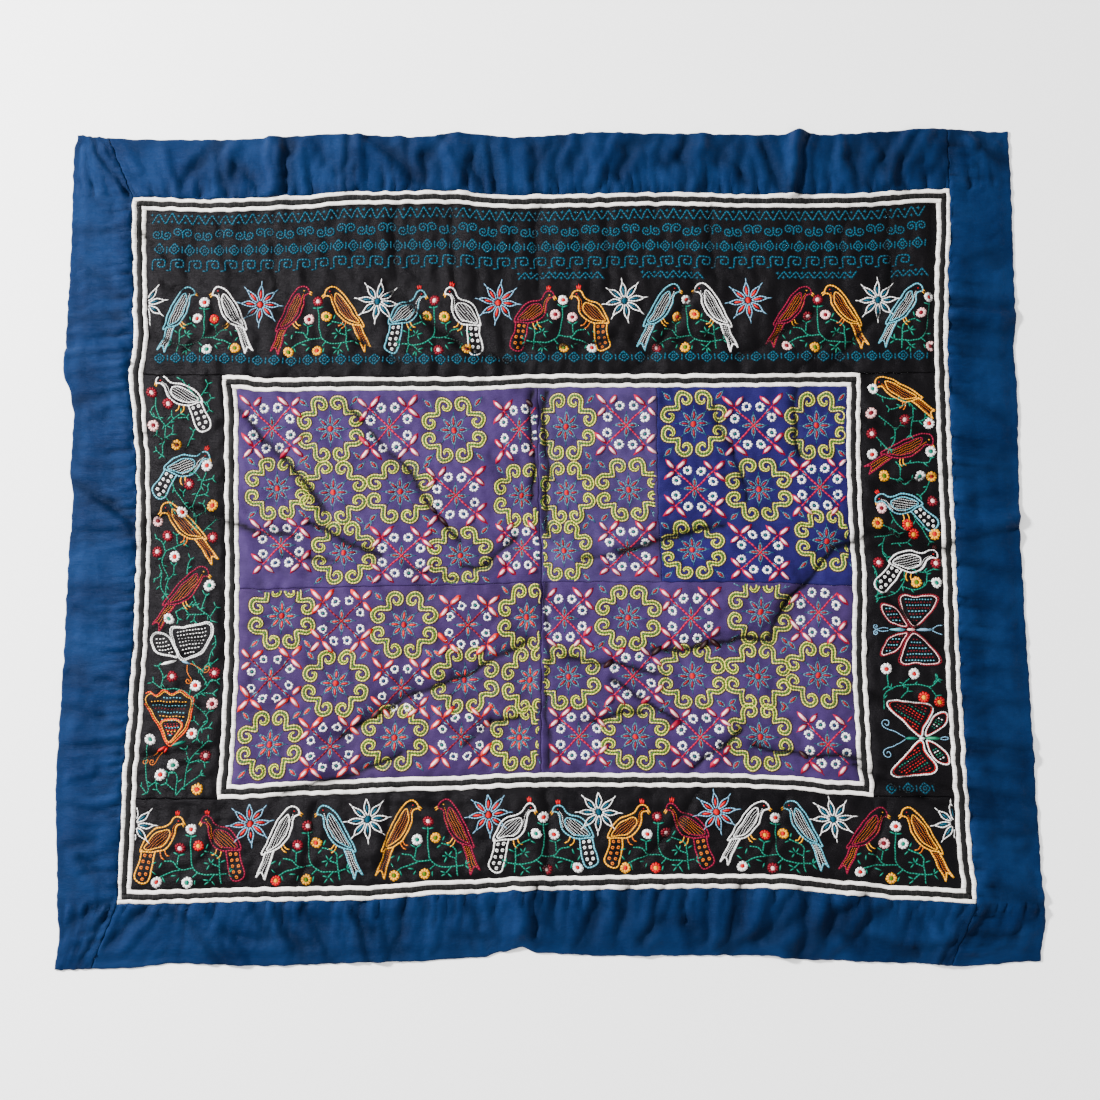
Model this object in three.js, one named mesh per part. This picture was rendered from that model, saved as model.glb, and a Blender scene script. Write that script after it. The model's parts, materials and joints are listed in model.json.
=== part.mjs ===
// A Hmong story cloth, laid out face up: a blue border, two frames of narrow white and black
// strips, four black embroidered bands and a centre pieced from five purple and blue panels.
// Millimetres, +Z up. The origin is on the surface, under the middle of the cloth.
import * as THREE from "three";

// Widths of the pieces when the cloth lies flat and straight.
const border = { left: 118, right: 122, top: 114, bottom: 112 };
const band = { left: 143, right: 143, top: 313, bottom: 158 };
const strip = { white: 7.8, black: 9.4 };
const centre = { left: 543, middle: 215, right: 343, upper: 357, lower: 341 };

const thickness = { border: 2.5, band: 2, panel: 2, strip: 3 };
const roughness = { border: 0.7, band: 0.5, panel: 0.6, strip: 0.85 };
const pieceGap = 0.3;
const gridStep = 46;

// The cloth is puffed up a little inside the border and lies flat along its rim. It sinks by
// settle, so that the bottoms of the creases and the low edges of the ridges lie flat too.
const loft = { height: 4, flatRim: 44, rise: 60, settle: 0.4 };

const colour = {
  blue: 0x14487a,
  black: 0x26242a,
  white: 0xf3eee8,
  stripBlack: 0x2a2926,
  purple: 0x5a4a92,
  greyPurple: 0x6a5590,
  royal: 0x353f96,
  violet: 0x5b4488,
};

// Seam positions from the left rim to the right and from the near rim to the far one.
const frameStrips = [strip.white, strip.black, strip.white];
const columns = stops([
  border.left, ...frameStrips, band.left, ...frameStrips,
  centre.left, centre.middle, centre.right,
  ...frameStrips, band.right, ...frameStrips, border.right,
]);
const rows = stops([
  border.bottom, ...frameStrips, band.bottom, ...frameStrips,
  centre.lower, centre.upper,
  ...frameStrips, band.top, ...frameStrips, border.top,
]);
const column = {
  rimLeft: 0, outerLeft: 1, innerLeft: 5, seamLeft: 9,
  seamRight: 10, innerRight: 14, outerRight: 18, rimRight: 19,
};
const row = { rimNear: 0, outerNear: 1, innerNear: 5, seam: 9, innerFar: 13, outerFar: 17, rimFar: 18 };
const stripCount = frameStrips.length;

// How far each upright seam lies to the right of its straight line, by its height v on the cloth.
const uprightSeams = [
  { u: columns[column.rimLeft], bows: [
    { v: -740, by: 6 }, { v: -700, by: 12 }, { v: -630, by: 6 }, { v: -425, by: -3 }, { v: -175, by: 4 },
    { v: -30, by: 6 }, { v: 75, by: 12 }, { v: 115, by: 4 }, { v: 225, by: 7 }, { v: 260, by: 0 },
    { v: 300, by: -14 }, { v: 335, by: -12 }, { v: 560, by: -8 }, { v: 710, by: -9 }, { v: 750, by: -3 },
  ] },
  { u: frameMiddle(columns, column.outerLeft), bows: [
    { v: -625, by: -6 }, { v: -430, by: -2 }, { v: -290, by: 6 }, { v: -150, by: 11 }, { v: 0, by: 12 },
    { v: 140, by: 6 }, { v: 215, by: -3 }, { v: 290, by: -11 }, { v: 365, by: -4 }, { v: 440, by: -8 },
    { v: 590, by: -14 },
  ] },
  { u: frameMiddle(columns, column.innerLeft), bows: [
    { v: -430, by: -2 }, { v: -365, by: 2 }, { v: -220, by: 6 }, { v: -75, by: 4 }, { v: 70, by: -1 },
    { v: 215, by: -4 }, { v: 290, by: -10 },
  ] },
  { u: frameMiddle(columns, column.innerRight - stripCount), bows: [
    { v: -430, by: 7 }, { v: -365, by: 3 }, { v: -220, by: -1 }, { v: -75, by: 3 }, { v: 70, by: -3 },
    { v: 140, by: -4 }, { v: 290, by: 0 },
  ] },
  { u: frameMiddle(columns, column.outerRight - stripCount), bows: [
    { v: -625, by: 15 }, { v: -500, by: 7 }, { v: -365, by: 2 }, { v: -220, by: -3 }, { v: 0, by: -4 },
    { v: 140, by: -7 }, { v: 290, by: -8 }, { v: 365, by: -8 }, { v: 440, by: -4 }, { v: 590, by: 4 },
  ] },
  { u: columns[column.rimRight], bows: [
    { v: -740, by: 4 }, { v: -670, by: 14 }, { v: -530, by: 8 }, { v: -420, by: 4 }, { v: -320, by: 1 },
    { v: -105, by: -5 }, { v: 20, by: -9 }, { v: 115, by: -7 }, { v: 260, by: -5 }, { v: 345, by: -9 },
    { v: 380, by: -4 }, { v: 640, by: -4 }, { v: 750, by: -7 },
  ] },
];

// How far each level seam lies behind its straight line, by its place u across the cloth.
const levelSeams = [
  { v: rows[row.rimNear], bows: [
    { u: -850, by: -15 }, { u: -710, by: -13 }, { u: -640, by: -4 }, { u: -500, by: -8 }, { u: -250, by: -1 },
    { u: -115, by: 6 }, { u: -80, by: 15 }, { u: -45, by: 24 }, { u: -10, by: 14 }, { u: 100, by: 9 },
    { u: 375, by: 10 }, { u: 445, by: 3 }, { u: 620, by: -3 }, { u: 760, by: -8 }, { u: 860, by: 0 },
  ] },
  { v: frameMiddle(rows, row.outerNear), bows: [
    { u: -700, by: -14 }, { u: -485, by: -9 }, { u: -325, by: -7 }, { u: -170, by: 3 }, { u: -10, by: 10 },
    { u: 250, by: 14 }, { u: 410, by: 14 }, { u: 520, by: 3 }, { u: 625, by: -7 }, { u: 760, by: -14 },
  ] },
  { v: frameMiddle(rows, row.innerNear), bows: [
    { u: -540, by: -14 }, { u: -435, by: -8 }, { u: -220, by: 0 }, { u: -10, by: 7 }, { u: 310, by: 6 },
    { u: 415, by: 2 }, { u: 520, by: -7 }, { u: 575, by: -10 },
  ] },
  { v: frameMiddle(rows, row.innerFar - stripCount), bows: [
    { u: -555, by: 1 }, { u: -500, by: -5 }, { u: -340, by: -3 }, { u: -120, by: -3 }, { u: -10, by: 3 },
    { u: 265, by: 3 }, { u: 535, by: 5 },
  ] },
  { v: frameMiddle(rows, row.outerFar - stripCount), bows: [
    { u: -730, by: -3 }, { u: -600, by: -7 }, { u: -450, by: -1 }, { u: -345, by: 8 }, { u: -175, by: 10 },
    { u: -65, by: 1 }, { u: 45, by: 2 }, { u: 210, by: 6 }, { u: 375, by: 2 }, { u: 545, by: 2 },
    { u: 710, by: 12 },
  ] },
  { v: rows[row.rimFar], bows: [
    { u: -860, by: 3 }, { u: -790, by: -1 }, { u: -680, by: -6 }, { u: -565, by: -6 }, { u: -490, by: -1 },
    { u: -380, by: 5 }, { u: -270, by: 1 }, { u: -230, by: -1 }, { u: -160, by: 7 }, { u: -50, by: -1 },
    { u: 100, by: 7 }, { u: 290, by: 5 }, { u: 435, by: 3 }, { u: 470, by: 11 }, { u: 510, by: 3 },
    { u: 655, by: 11 }, { u: 730, by: 15 }, { u: 845, by: 9 },
  ] },
];

// The corner seams of the border slant: each shift grows from the frame's corner to the rim.
const cornerSlants = [
  { u: columns[column.outerLeft], from: rows[row.outerFar], to: rows[row.rimFar], by: -50 },
  { u: columns[column.outerLeft], from: rows[row.outerNear], to: rows[row.rimNear], by: -44 },
  { u: columns[column.outerRight], from: rows[row.outerNear], to: rows[row.rimNear], by: -46 },
];
const slantReach = 112;

// Soft ridges (height above zero) and creases (below zero), each along a line on the cloth.
const folds = [
  // creases of the far black band
  { from: [-285, 455], to: [-30, 305], width: 34, height: -5 },
  { from: [-40, 345], to: [165, 365], width: 32, height: -4 },
  { from: [275, 455], to: [165, 305], width: 32, height: -4 },
  { from: [245, 365], to: [335, 365], width: 28, height: -3 },
  { from: [355, 325], to: [495, 410], width: 30, height: -4 },
  { from: [510, 300], to: [620, 410], width: 30, height: -4 },
  { from: [-705, 370], to: [-525, 420], width: 30, height: -4 },
  { from: [-340, 370], to: [-255, 315], width: 28, height: -3 },
  { from: [-10, 600], to: [-10, 450], width: 30, height: -3 },
  { from: [-268, 600], to: [-265, 465], width: 30, height: -3 },
  { from: [630, 610], to: [630, 455], width: 30, height: -3 },
  { from: [-130, 560], to: [-130, 420], width: 45, height: 4 },
  { from: [420, 560], to: [400, 430], width: 45, height: 3 },
  // creases of the centre, most of them running to its middle
  { from: [-545, 235], to: [-390, 50], width: 34, height: -4 },
  { from: [-345, 240], to: [-155, -5], width: 32, height: -4 },
  { from: [-640, 50], to: [-300, -30], width: 32, height: -5 },
  { from: [-155, -50], to: [-55, -5], width: 30, height: -4 },
  { from: [5, 270], to: [0, -85], width: 30, height: -4 },
  { from: [125, -40], to: [325, 15], width: 32, height: -5 },
  { from: [310, 235], to: [370, 60], width: 30, height: -3 },
  { from: [185, -210], to: [395, -185], width: 36, height: -6 },
  { from: [395, -185], to: [510, -25], width: 34, height: -5 },
  { from: [510, -25], to: [730, -20], width: 32, height: -5 },
  { from: [-35, -195], to: [-365, -345], width: 34, height: -5 },
  { from: [35, -220], to: [240, -300], width: 32, height: -4 },
  { from: [-460, -450], to: [-260, -390], width: 32, height: -4 },
  { from: [255, -415], to: [550, -390], width: 32, height: -4 },
  { from: [-450, 150], to: [-260, -10], width: 50, height: 4 },
  { from: [150, 120], to: [250, 60], width: 55, height: 4 },
  { from: [250, -120], to: [420, -100], width: 50, height: 5 },
  { from: [-300, -180], to: [-120, -120], width: 55, height: 4 },
  // puckers across the blue border
  { from: [-480, 750], to: [-480, 650], width: 30, height: 7 },
  { from: [-345, 750], to: [-355, 650], width: 30, height: 5 },
  { from: [-160, 750], to: [-150, 660], width: 34, height: 6 },
  { from: [105, 750], to: [95, 660], width: 32, height: 5 },
  { from: [290, 750], to: [270, 660], width: 36, height: 5 },
  { from: [475, 755], to: [455, 650], width: 32, height: 9 },
  { from: [700, 760], to: [635, 655], width: 36, height: 7 },
  { from: [-880, 320], to: [-765, 315], width: 36, height: 8 },
  { from: [-855, 60], to: [-750, 10], width: 34, height: 7 },
  { from: [-850, -240], to: [-755, -255], width: 34, height: 4 },
  { from: [755, 400], to: [855, 400], width: 34, height: 6 },
  { from: [740, -10], to: [860, 25], width: 34, height: 7 },
  { from: [755, -365], to: [865, -375], width: 36, height: 5 },
  { from: [775, -600], to: [870, -640], width: 36, height: 6 },
  { from: [-625, -650], to: [-545, -750], width: 34, height: 5 },
  { from: [-330, -650], to: [-310, -750], width: 34, height: 5 },
  { from: [-30, -635], to: [-45, -725], width: 34, height: 9 },
  { from: [200, -635], to: [165, -725], width: 34, height: 5 },
  { from: [540, -640], to: [420, -745], width: 36, height: 6 },
  { from: [745, -650], to: [705, -750], width: 34, height: 6 },
];

// Running sums of the widths, with zero in the middle.
function stops(widths) {
  const total = widths.reduce((sum, width) => sum + width, 0);
  let at = -total / 2;
  return [at, ...widths.map((width) => (at += width))];
}

function frameMiddle(lines, first) {
  return (lines[first] + lines[first + stripCount]) / 2;
}

function smooth(t) {
  const clamped = Math.min(1, Math.max(0, t));
  return clamped * clamped * (3 - 2 * clamped);
}

// The value of a table at a place along its named axis, eased between rows.
function tableValue(table, axis, at) {
  const last = table.length - 1;
  if (at <= table[0][axis]) return table[0].by;
  if (at >= table[last][axis]) return table[last].by;
  const next = table.findIndex((entry) => entry[axis] > at);
  const before = table[next - 1];
  const after = table[next];
  const t = smooth((at - before[axis]) / (after[axis] - before[axis]));
  return before.by + (after.by - before.by) * t;
}

// The shift at a point, blended between the two seams on either side of it.
function seamShift(seams, acrossAxis, across, alongAxis, along) {
  const passed = seams.filter((seam) => seam[acrossAxis] <= across).length;
  const next = Math.min(seams.length - 1, Math.max(1, passed));
  const before = seams[next - 1];
  const after = seams[next];
  const span = after[acrossAxis] - before[acrossAxis];
  const t = Math.min(1, Math.max(0, (across - before[acrossAxis]) / span));
  const near = tableValue(before.bows, alongAxis, along);
  const far = tableValue(after.bows, alongAxis, along);
  return near + (far - near) * t;
}

function slantShift(u, v) {
  let shift = 0;
  for (const slant of cornerSlants) {
    const grow = Math.min(1, Math.max(0, (v - slant.from) / (slant.to - slant.from)));
    const reach = Math.max(0, 1 - Math.abs(u - slant.u) / slantReach);
    shift += slant.by * grow * reach;
  }
  return shift;
}

function distanceToFold(u, v, fold) {
  const [startU, startV] = fold.from;
  const alongU = fold.to[0] - startU;
  const alongV = fold.to[1] - startV;
  const lengthSquared = alongU * alongU + alongV * alongV;
  const t = Math.min(1, Math.max(0, ((u - startU) * alongU + (v - startV) * alongV) / lengthSquared));
  return Math.hypot(u - startU - alongU * t, v - startV - alongV * t);
}

// Height of the cloth's underside above the surface.
function undersideHeight(u, v) {
  const rimDistance = Math.min(
    u - columns[column.rimLeft],
    columns[column.rimRight] - u,
    v - rows[row.rimNear],
    rows[row.rimFar] - v,
  );
  let height = loft.height * smooth((rimDistance - loft.flatRim) / loft.rise);
  for (const fold of folds) {
    height += fold.height * Math.exp(-((distanceToFold(u, v, fold) / fold.width) ** 2));
  }
  return Math.max(0, height - loft.settle);
}

// Where the point u, v of the flat cloth lies on the surface.
function lie(u, v) {
  const x = u + seamShift(uprightSeams, "u", u, "v", v) + slantShift(u, v);
  const y = v + seamShift(levelSeams, "v", v, "u", u);
  return [x, y, undersideHeight(u, v)];
}

// Grid lines between two seams, shared by every piece, with the ends drawn in by half a gap.
function gridLines(lines, first, last) {
  const result = [];
  for (let index = first; index < last; index += 1) {
    const span = lines[index + 1] - lines[index];
    const steps = Math.ceil(span / gridStep);
    for (let step = 0; step < steps; step += 1) result.push(lines[index] + (span * step) / steps);
  }
  result.push(lines[last]);
  result[0] += pieceGap / 2;
  result[result.length - 1] -= pieceGap / 2;
  return result;
}

// A closed sheet over the grid, thick upwards from its underside.
function sheetGeometry(us, vs, thick) {
  const across = us.length;
  const deep = vs.length;
  const layer = across * deep;
  const positions = [];
  for (const rise of [0, thick]) {
    for (const v of vs) {
      for (const u of us) {
        const [x, y, z] = lie(u, v);
        positions.push(x, y, z + rise);
      }
    }
  }
  const at = (i, j, level) => level * layer + j * across + i;
  const indices = [];
  const quad = (a, b, c, d) => indices.push(a, b, c, a, c, d);
  for (let j = 0; j < deep - 1; j += 1) {
    for (let i = 0; i < across - 1; i += 1) {
      quad(at(i, j, 1), at(i + 1, j, 1), at(i + 1, j + 1, 1), at(i, j + 1, 1));
      quad(at(i, j + 1, 0), at(i + 1, j + 1, 0), at(i + 1, j, 0), at(i, j, 0));
    }
  }
  for (let i = 0; i < across - 1; i += 1) {
    quad(at(i, 0, 0), at(i + 1, 0, 0), at(i + 1, 0, 1), at(i, 0, 1));
    quad(at(i + 1, deep - 1, 0), at(i, deep - 1, 0), at(i, deep - 1, 1), at(i + 1, deep - 1, 1));
  }
  for (let j = 0; j < deep - 1; j += 1) {
    quad(at(0, j + 1, 0), at(0, j, 0), at(0, j, 1), at(0, j + 1, 1));
    quad(at(across - 1, j, 0), at(across - 1, j + 1, 0), at(across - 1, j + 1, 1), at(across - 1, j, 1));
  }
  const geometry = new THREE.BufferGeometry();
  geometry.setAttribute("position", new THREE.Float32BufferAttribute(positions, 3));
  geometry.setIndex(indices);
  geometry.computeVertexNormals();
  return geometry;
}

function clothMaterial(hex, kind) {
  return new THREE.MeshStandardMaterial({ color: hex, roughness: roughness[kind], metalness: 0 });
}

const cloth = new THREE.Group();

function addPiece(name, columnRange, rowRange, kind, hex) {
  const us = gridLines(columns, ...columnRange);
  const vs = gridLines(rows, ...rowRange);
  const mesh = new THREE.Mesh(sheetGeometry(us, vs, thickness[kind]), clothMaterial(hex, kind));
  mesh.name = name;
  cloth.add(mesh);
}

function addBorder() {
  const { rimLeft, outerLeft, outerRight, rimRight } = column;
  const { rimNear, outerNear, outerFar, rimFar } = row;
  const add = (name, columnRange, rowRange) =>
    addPiece(`border_${name}`, columnRange, rowRange, "border", colour.blue);
  add("left", [rimLeft, outerLeft], [rimNear, rimFar]);
  add("right", [outerRight, rimRight], [rimNear, rimFar]);
  add("top", [outerLeft, outerRight], [outerFar, rimFar]);
  add("bottom", [outerLeft, outerRight], [rimNear, outerNear]);
}

// Three nested rings of four strips: the level strips run full width, the upright ones between them.
function addFrame(name, left, right, near, far) {
  const rings = [
    { ring: "outer_white", hex: colour.white },
    { ring: "black", hex: colour.stripBlack },
    { ring: "inner_white", hex: colour.white },
  ];
  rings.forEach(({ ring, hex }, depth) => {
    const [l, r, n, f] = [left + depth, right - depth, near + depth, far - depth];
    const add = (side, columnRange, rowRange) =>
      addPiece(`${name}_${ring}_${side}`, columnRange, rowRange, "strip", hex);
    add("top", [l, r], [f - 1, f]);
    add("bottom", [l, r], [n, n + 1]);
    add("left", [l, l + 1], [n + 1, f - 1]);
    add("right", [r - 1, r], [n + 1, f - 1]);
  });
}

function addBands() {
  const left = column.outerLeft + stripCount;
  const right = column.outerRight - stripCount;
  const near = row.outerNear + stripCount;
  const far = row.outerFar - stripCount;
  const add = (name, columnRange, rowRange) =>
    addPiece(`band_${name}`, columnRange, rowRange, "band", colour.black);
  add("top", [left, right], [row.innerFar, far]);
  add("bottom", [left, right], [near, row.innerNear]);
  add("left", [left, column.innerLeft], [row.innerNear, row.innerFar]);
  add("right", [column.innerRight, right], [row.innerNear, row.innerFar]);
}

function addCentre() {
  const left = column.innerLeft + stripCount;
  const right = column.innerRight - stripCount;
  const near = row.innerNear + stripCount;
  const far = row.innerFar - stripCount;
  const add = (name, columnRange, rowRange, hex) =>
    addPiece(`panel_${name}`, columnRange, rowRange, "panel", hex);
  add("upper_left", [left, column.seamLeft], [row.seam, far], colour.purple);
  add("upper_middle", [column.seamLeft, column.seamRight], [row.seam, far], colour.greyPurple);
  add("upper_right", [column.seamRight, right], [row.seam, far], colour.royal);
  add("lower_left", [left, column.seamLeft], [near, row.seam], colour.violet);
  add("lower_right", [column.seamLeft, right], [near, row.seam], colour.purple);
}

addBorder();
addFrame("frame_outer", column.outerLeft, column.outerRight, row.outerNear, row.outerFar);
addBands();
addFrame("frame_inner", column.innerLeft, column.innerRight, row.innerNear, row.innerFar);
addCentre();

const middle = new THREE.Box3().setFromObject(cloth).getCenter(new THREE.Vector3());
cloth.position.set(-middle.x, -middle.y, 0);

export default cloth;
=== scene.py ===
import json
import math

import bpy
import numpy as np
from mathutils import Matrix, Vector

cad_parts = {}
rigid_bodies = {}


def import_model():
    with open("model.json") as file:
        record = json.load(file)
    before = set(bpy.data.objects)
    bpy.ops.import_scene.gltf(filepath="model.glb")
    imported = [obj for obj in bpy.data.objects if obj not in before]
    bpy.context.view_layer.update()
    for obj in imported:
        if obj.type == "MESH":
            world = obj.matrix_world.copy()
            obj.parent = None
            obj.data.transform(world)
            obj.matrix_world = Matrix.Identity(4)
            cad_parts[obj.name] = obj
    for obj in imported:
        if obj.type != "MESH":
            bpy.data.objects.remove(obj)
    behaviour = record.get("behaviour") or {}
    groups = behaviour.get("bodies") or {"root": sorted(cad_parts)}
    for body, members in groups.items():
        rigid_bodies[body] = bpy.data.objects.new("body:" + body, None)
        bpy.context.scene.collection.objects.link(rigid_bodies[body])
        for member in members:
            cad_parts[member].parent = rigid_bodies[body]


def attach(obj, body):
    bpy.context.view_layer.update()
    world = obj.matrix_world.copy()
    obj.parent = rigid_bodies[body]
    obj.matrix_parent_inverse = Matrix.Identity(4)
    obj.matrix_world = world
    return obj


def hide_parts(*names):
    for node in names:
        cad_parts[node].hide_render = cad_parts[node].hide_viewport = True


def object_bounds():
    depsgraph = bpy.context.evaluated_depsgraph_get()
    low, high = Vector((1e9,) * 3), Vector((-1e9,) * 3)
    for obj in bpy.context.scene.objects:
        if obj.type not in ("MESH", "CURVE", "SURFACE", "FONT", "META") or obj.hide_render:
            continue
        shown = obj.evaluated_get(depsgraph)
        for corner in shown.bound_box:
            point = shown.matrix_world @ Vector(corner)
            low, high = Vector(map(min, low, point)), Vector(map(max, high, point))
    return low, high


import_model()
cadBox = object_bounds()
print("stage: frame loaded")

# A Hmong story cloth, lying face up. Lengths on the flat cloth are millimetres, u to the right and
# v away from the viewer, with zero in its middle. They become metres when the cloth is laid out.
metre = 0.001

clothPlan = {
    "borderLeft": 118, "borderRight": 122, "borderTop": 114, "borderBottom": 112,
    "bandLeft": 143, "bandRight": 143, "bandTop": 313, "bandBottom": 158,
    "whiteStrip": 7.8, "blackStrip": 9.4,
    "centreLeft": 543, "centreMiddle": 215, "centreRight": 343, "centreUpper": 357, "centreLower": 341,
}
sheetMake = {
    "thick": {"border": 2.5, "band": 2.0, "panel": 2.0, "strip": 3.0},
    "step": {"border": 5.6, "band": 5.4, "panel": 4.9, "strip": 6.0},
    "gap": 0.3, "roundedEdge": [1.1, 3.2], "edgeDrop": 0.55, "secondDrop": 0.25,
    "stripProfile": [0.0, 0.18, 0.82, 1.0],
    "stripTurnedUnder": 2.4,  # at each side of a strip, so that it is cut wider than it shows
}

frameStrips = ["whiteStrip", "blackStrip", "whiteStrip"]
stripCount = len(frameStrips)


def stops(names):
    # Places of the seams along a row of pieces, from the middle of the whole.
    widths = [clothPlan[name] for name in names]
    return np.concatenate([[0], np.cumsum(widths)]) - sum(widths) / 2


columns = stops(["borderLeft", *frameStrips, "bandLeft", *frameStrips, "centreLeft", "centreMiddle",
                 "centreRight", *frameStrips, "bandRight", *frameStrips, "borderRight"])
rows = stops(["borderBottom", *frameStrips, "bandBottom", *frameStrips, "centreLower", "centreUpper",
              *frameStrips, "bandTop", *frameStrips, "borderTop"])
# The seams' numbers in columns, from the left, and in rows, from the near side.
rimLeft, outerLeft, innerLeft = 0, 1, 5
seamLeft, seamRight = 9, 10
innerRight, outerRight, rimRight = 14, 18, 19
rimNear, outerNear, innerNear = 0, 1, 5
seamLevel = 9
innerFar, outerFar, rimFar = 13, 17, 18


def frameMiddle(lines, first):
    return (lines[first] + lines[first + stripCount]) / 2


# Each seam's bows: place along the seam, shift to the right (upright seams) or away (level seams).
uprightSeams = [
    (columns[rimLeft],
     [(-740, 6), (-700, 12), (-630, 6), (-425, -3), (-175, 4), (-30, 6), (75, 12), (115, 4), (225, 7),
      (260, 0), (300, -14), (335, -12), (560, -8), (710, -9), (750, -3)]),
    (frameMiddle(columns, outerLeft),
     [(-625, -6), (-430, -2), (-290, 6), (-150, 11), (0, 12), (140, 6), (215, -3), (290, -11), (365, -4),
      (440, -8), (590, -14)]),
    (frameMiddle(columns, innerLeft),
     [(-430, -2), (-365, 2), (-220, 6), (-75, 4), (70, -1), (215, -4), (290, -10)]),
    (frameMiddle(columns, innerRight - stripCount),
     [(-430, 7), (-365, 3), (-220, -1), (-75, 3), (70, -3), (140, -4), (290, 0)]),
    (frameMiddle(columns, outerRight - stripCount),
     [(-625, 15), (-500, 7), (-365, 2), (-220, -3), (0, -4), (140, -7), (290, -8), (365, -8), (440, -4),
      (590, 4)]),
    (columns[rimRight],
     [(-740, 4), (-670, 14), (-530, 8), (-420, 4), (-320, 1), (-105, -5), (20, -9), (115, -7), (260, -5),
      (345, -9), (380, -4), (640, -4), (750, -7)]),
]
levelSeams = [
    (rows[rimNear],
     [(-850, -15), (-710, -13), (-640, -4), (-500, -8), (-250, -1), (-115, 6), (-80, 15), (-45, 24),
      (-10, 14), (100, 9), (375, 10), (445, 3), (620, -3), (760, -8), (860, 0)]),
    (frameMiddle(rows, outerNear),
     [(-700, -14), (-485, -9), (-325, -7), (-170, 3), (-10, 10), (250, 14), (410, 14), (520, 3), (625, -7),
      (760, -14)]),
    (frameMiddle(rows, innerNear),
     [(-540, -14), (-435, -8), (-220, 0), (-10, 7), (310, 6), (415, 2), (520, -7), (575, -10)]),
    (frameMiddle(rows, innerFar - stripCount),
     [(-555, 1), (-500, -5), (-340, -3), (-120, -3), (-10, 3), (265, 3), (535, 5)]),
    (frameMiddle(rows, outerFar - stripCount),
     [(-730, -3), (-600, -7), (-450, -1), (-345, 8), (-175, 10), (-65, 1), (45, 2), (210, 6), (375, 2),
      (545, 2), (710, 12)]),
    (rows[rimFar],
     [(-860, 3), (-790, -1), (-680, -6), (-565, -6), (-490, -1), (-380, 5), (-270, 1), (-230, -1),
      (-160, 7), (-50, -1), (100, 7), (290, 5), (435, 3), (470, 11), (510, 3), (655, 11), (730, 15),
      (845, 9)]),
]
# Slanted corner seams of the border: seam, frame corner, rim, shift at the rim.
cornerSlants = [
    (columns[outerLeft], rows[outerFar], rows[rimFar], -50),
    (columns[outerLeft], rows[outerNear], rows[rimNear], -44),
    (columns[outerRight], rows[outerNear], rows[rimNear], -46),
]
slantReach = 112

# Main ridges (height above zero) and creases (below zero): start u, v, end u, v, width, height.
mainFolds = [
    # far black band
    (-285, 455, -30, 305, 34, -5), (-40, 345, 165, 365, 32, -4), (275, 455, 165, 305, 32, -4),
    (245, 365, 335, 365, 28, -3), (355, 325, 495, 410, 30, -4), (510, 300, 620, 410, 30, -4),
    (-705, 370, -525, 420, 30, -4), (-340, 370, -255, 315, 28, -3), (-10, 600, -10, 450, 30, -3),
    (-268, 600, -265, 465, 30, -3), (630, 610, 630, 455, 30, -3), (-130, 560, -130, 420, 45, 4),
    (420, 560, 400, 430, 45, 3),
    # centre
    (-545, 235, -390, 50, 34, -4), (-345, 240, -155, -5, 32, -4), (-640, 50, -300, -30, 32, -5),
    (-155, -50, -55, -5, 30, -4), (5, 270, 0, -85, 30, -4), (125, -40, 325, 15, 32, -5),
    (310, 235, 370, 60, 30, -3), (185, -210, 395, -185, 36, -6), (395, -185, 510, -25, 34, -5),
    (510, -25, 730, -20, 32, -5), (-35, -195, -365, -345, 34, -5), (35, -220, 240, -300, 32, -4),
    (-460, -450, -260, -390, 32, -4), (255, -415, 550, -390, 32, -4), (-450, 150, -260, -10, 50, 4),
    (150, 120, 250, 60, 55, 4), (250, -120, 420, -100, 50, 5), (-300, -180, -120, -120, 55, 4),
    # border
    (-480, 750, -480, 650, 30, 7), (-345, 750, -355, 650, 30, 5), (-160, 750, -150, 660, 34, 6),
    (105, 750, 95, 660, 32, 5), (290, 750, 270, 660, 36, 5), (475, 755, 455, 650, 32, 9),
    (700, 760, 635, 655, 36, 7), (-880, 320, -765, 315, 36, 8), (-855, 60, -750, 10, 34, 7),
    (-850, -240, -755, -255, 34, 4), (755, 400, 855, 400, 34, 6), (740, -10, 860, 25, 34, 7),
    (755, -365, 865, -375, 36, 5), (775, -600, 870, -640, 36, 6), (-625, -650, -545, -750, 34, 5),
    (-330, -650, -310, -750, 34, 5), (-30, -635, -45, -725, 34, 9), (200, -635, 165, -725, 34, 5),
    (540, -640, 420, -745, 36, 6), (745, -650, 705, -750, 34, 6),
]
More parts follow.
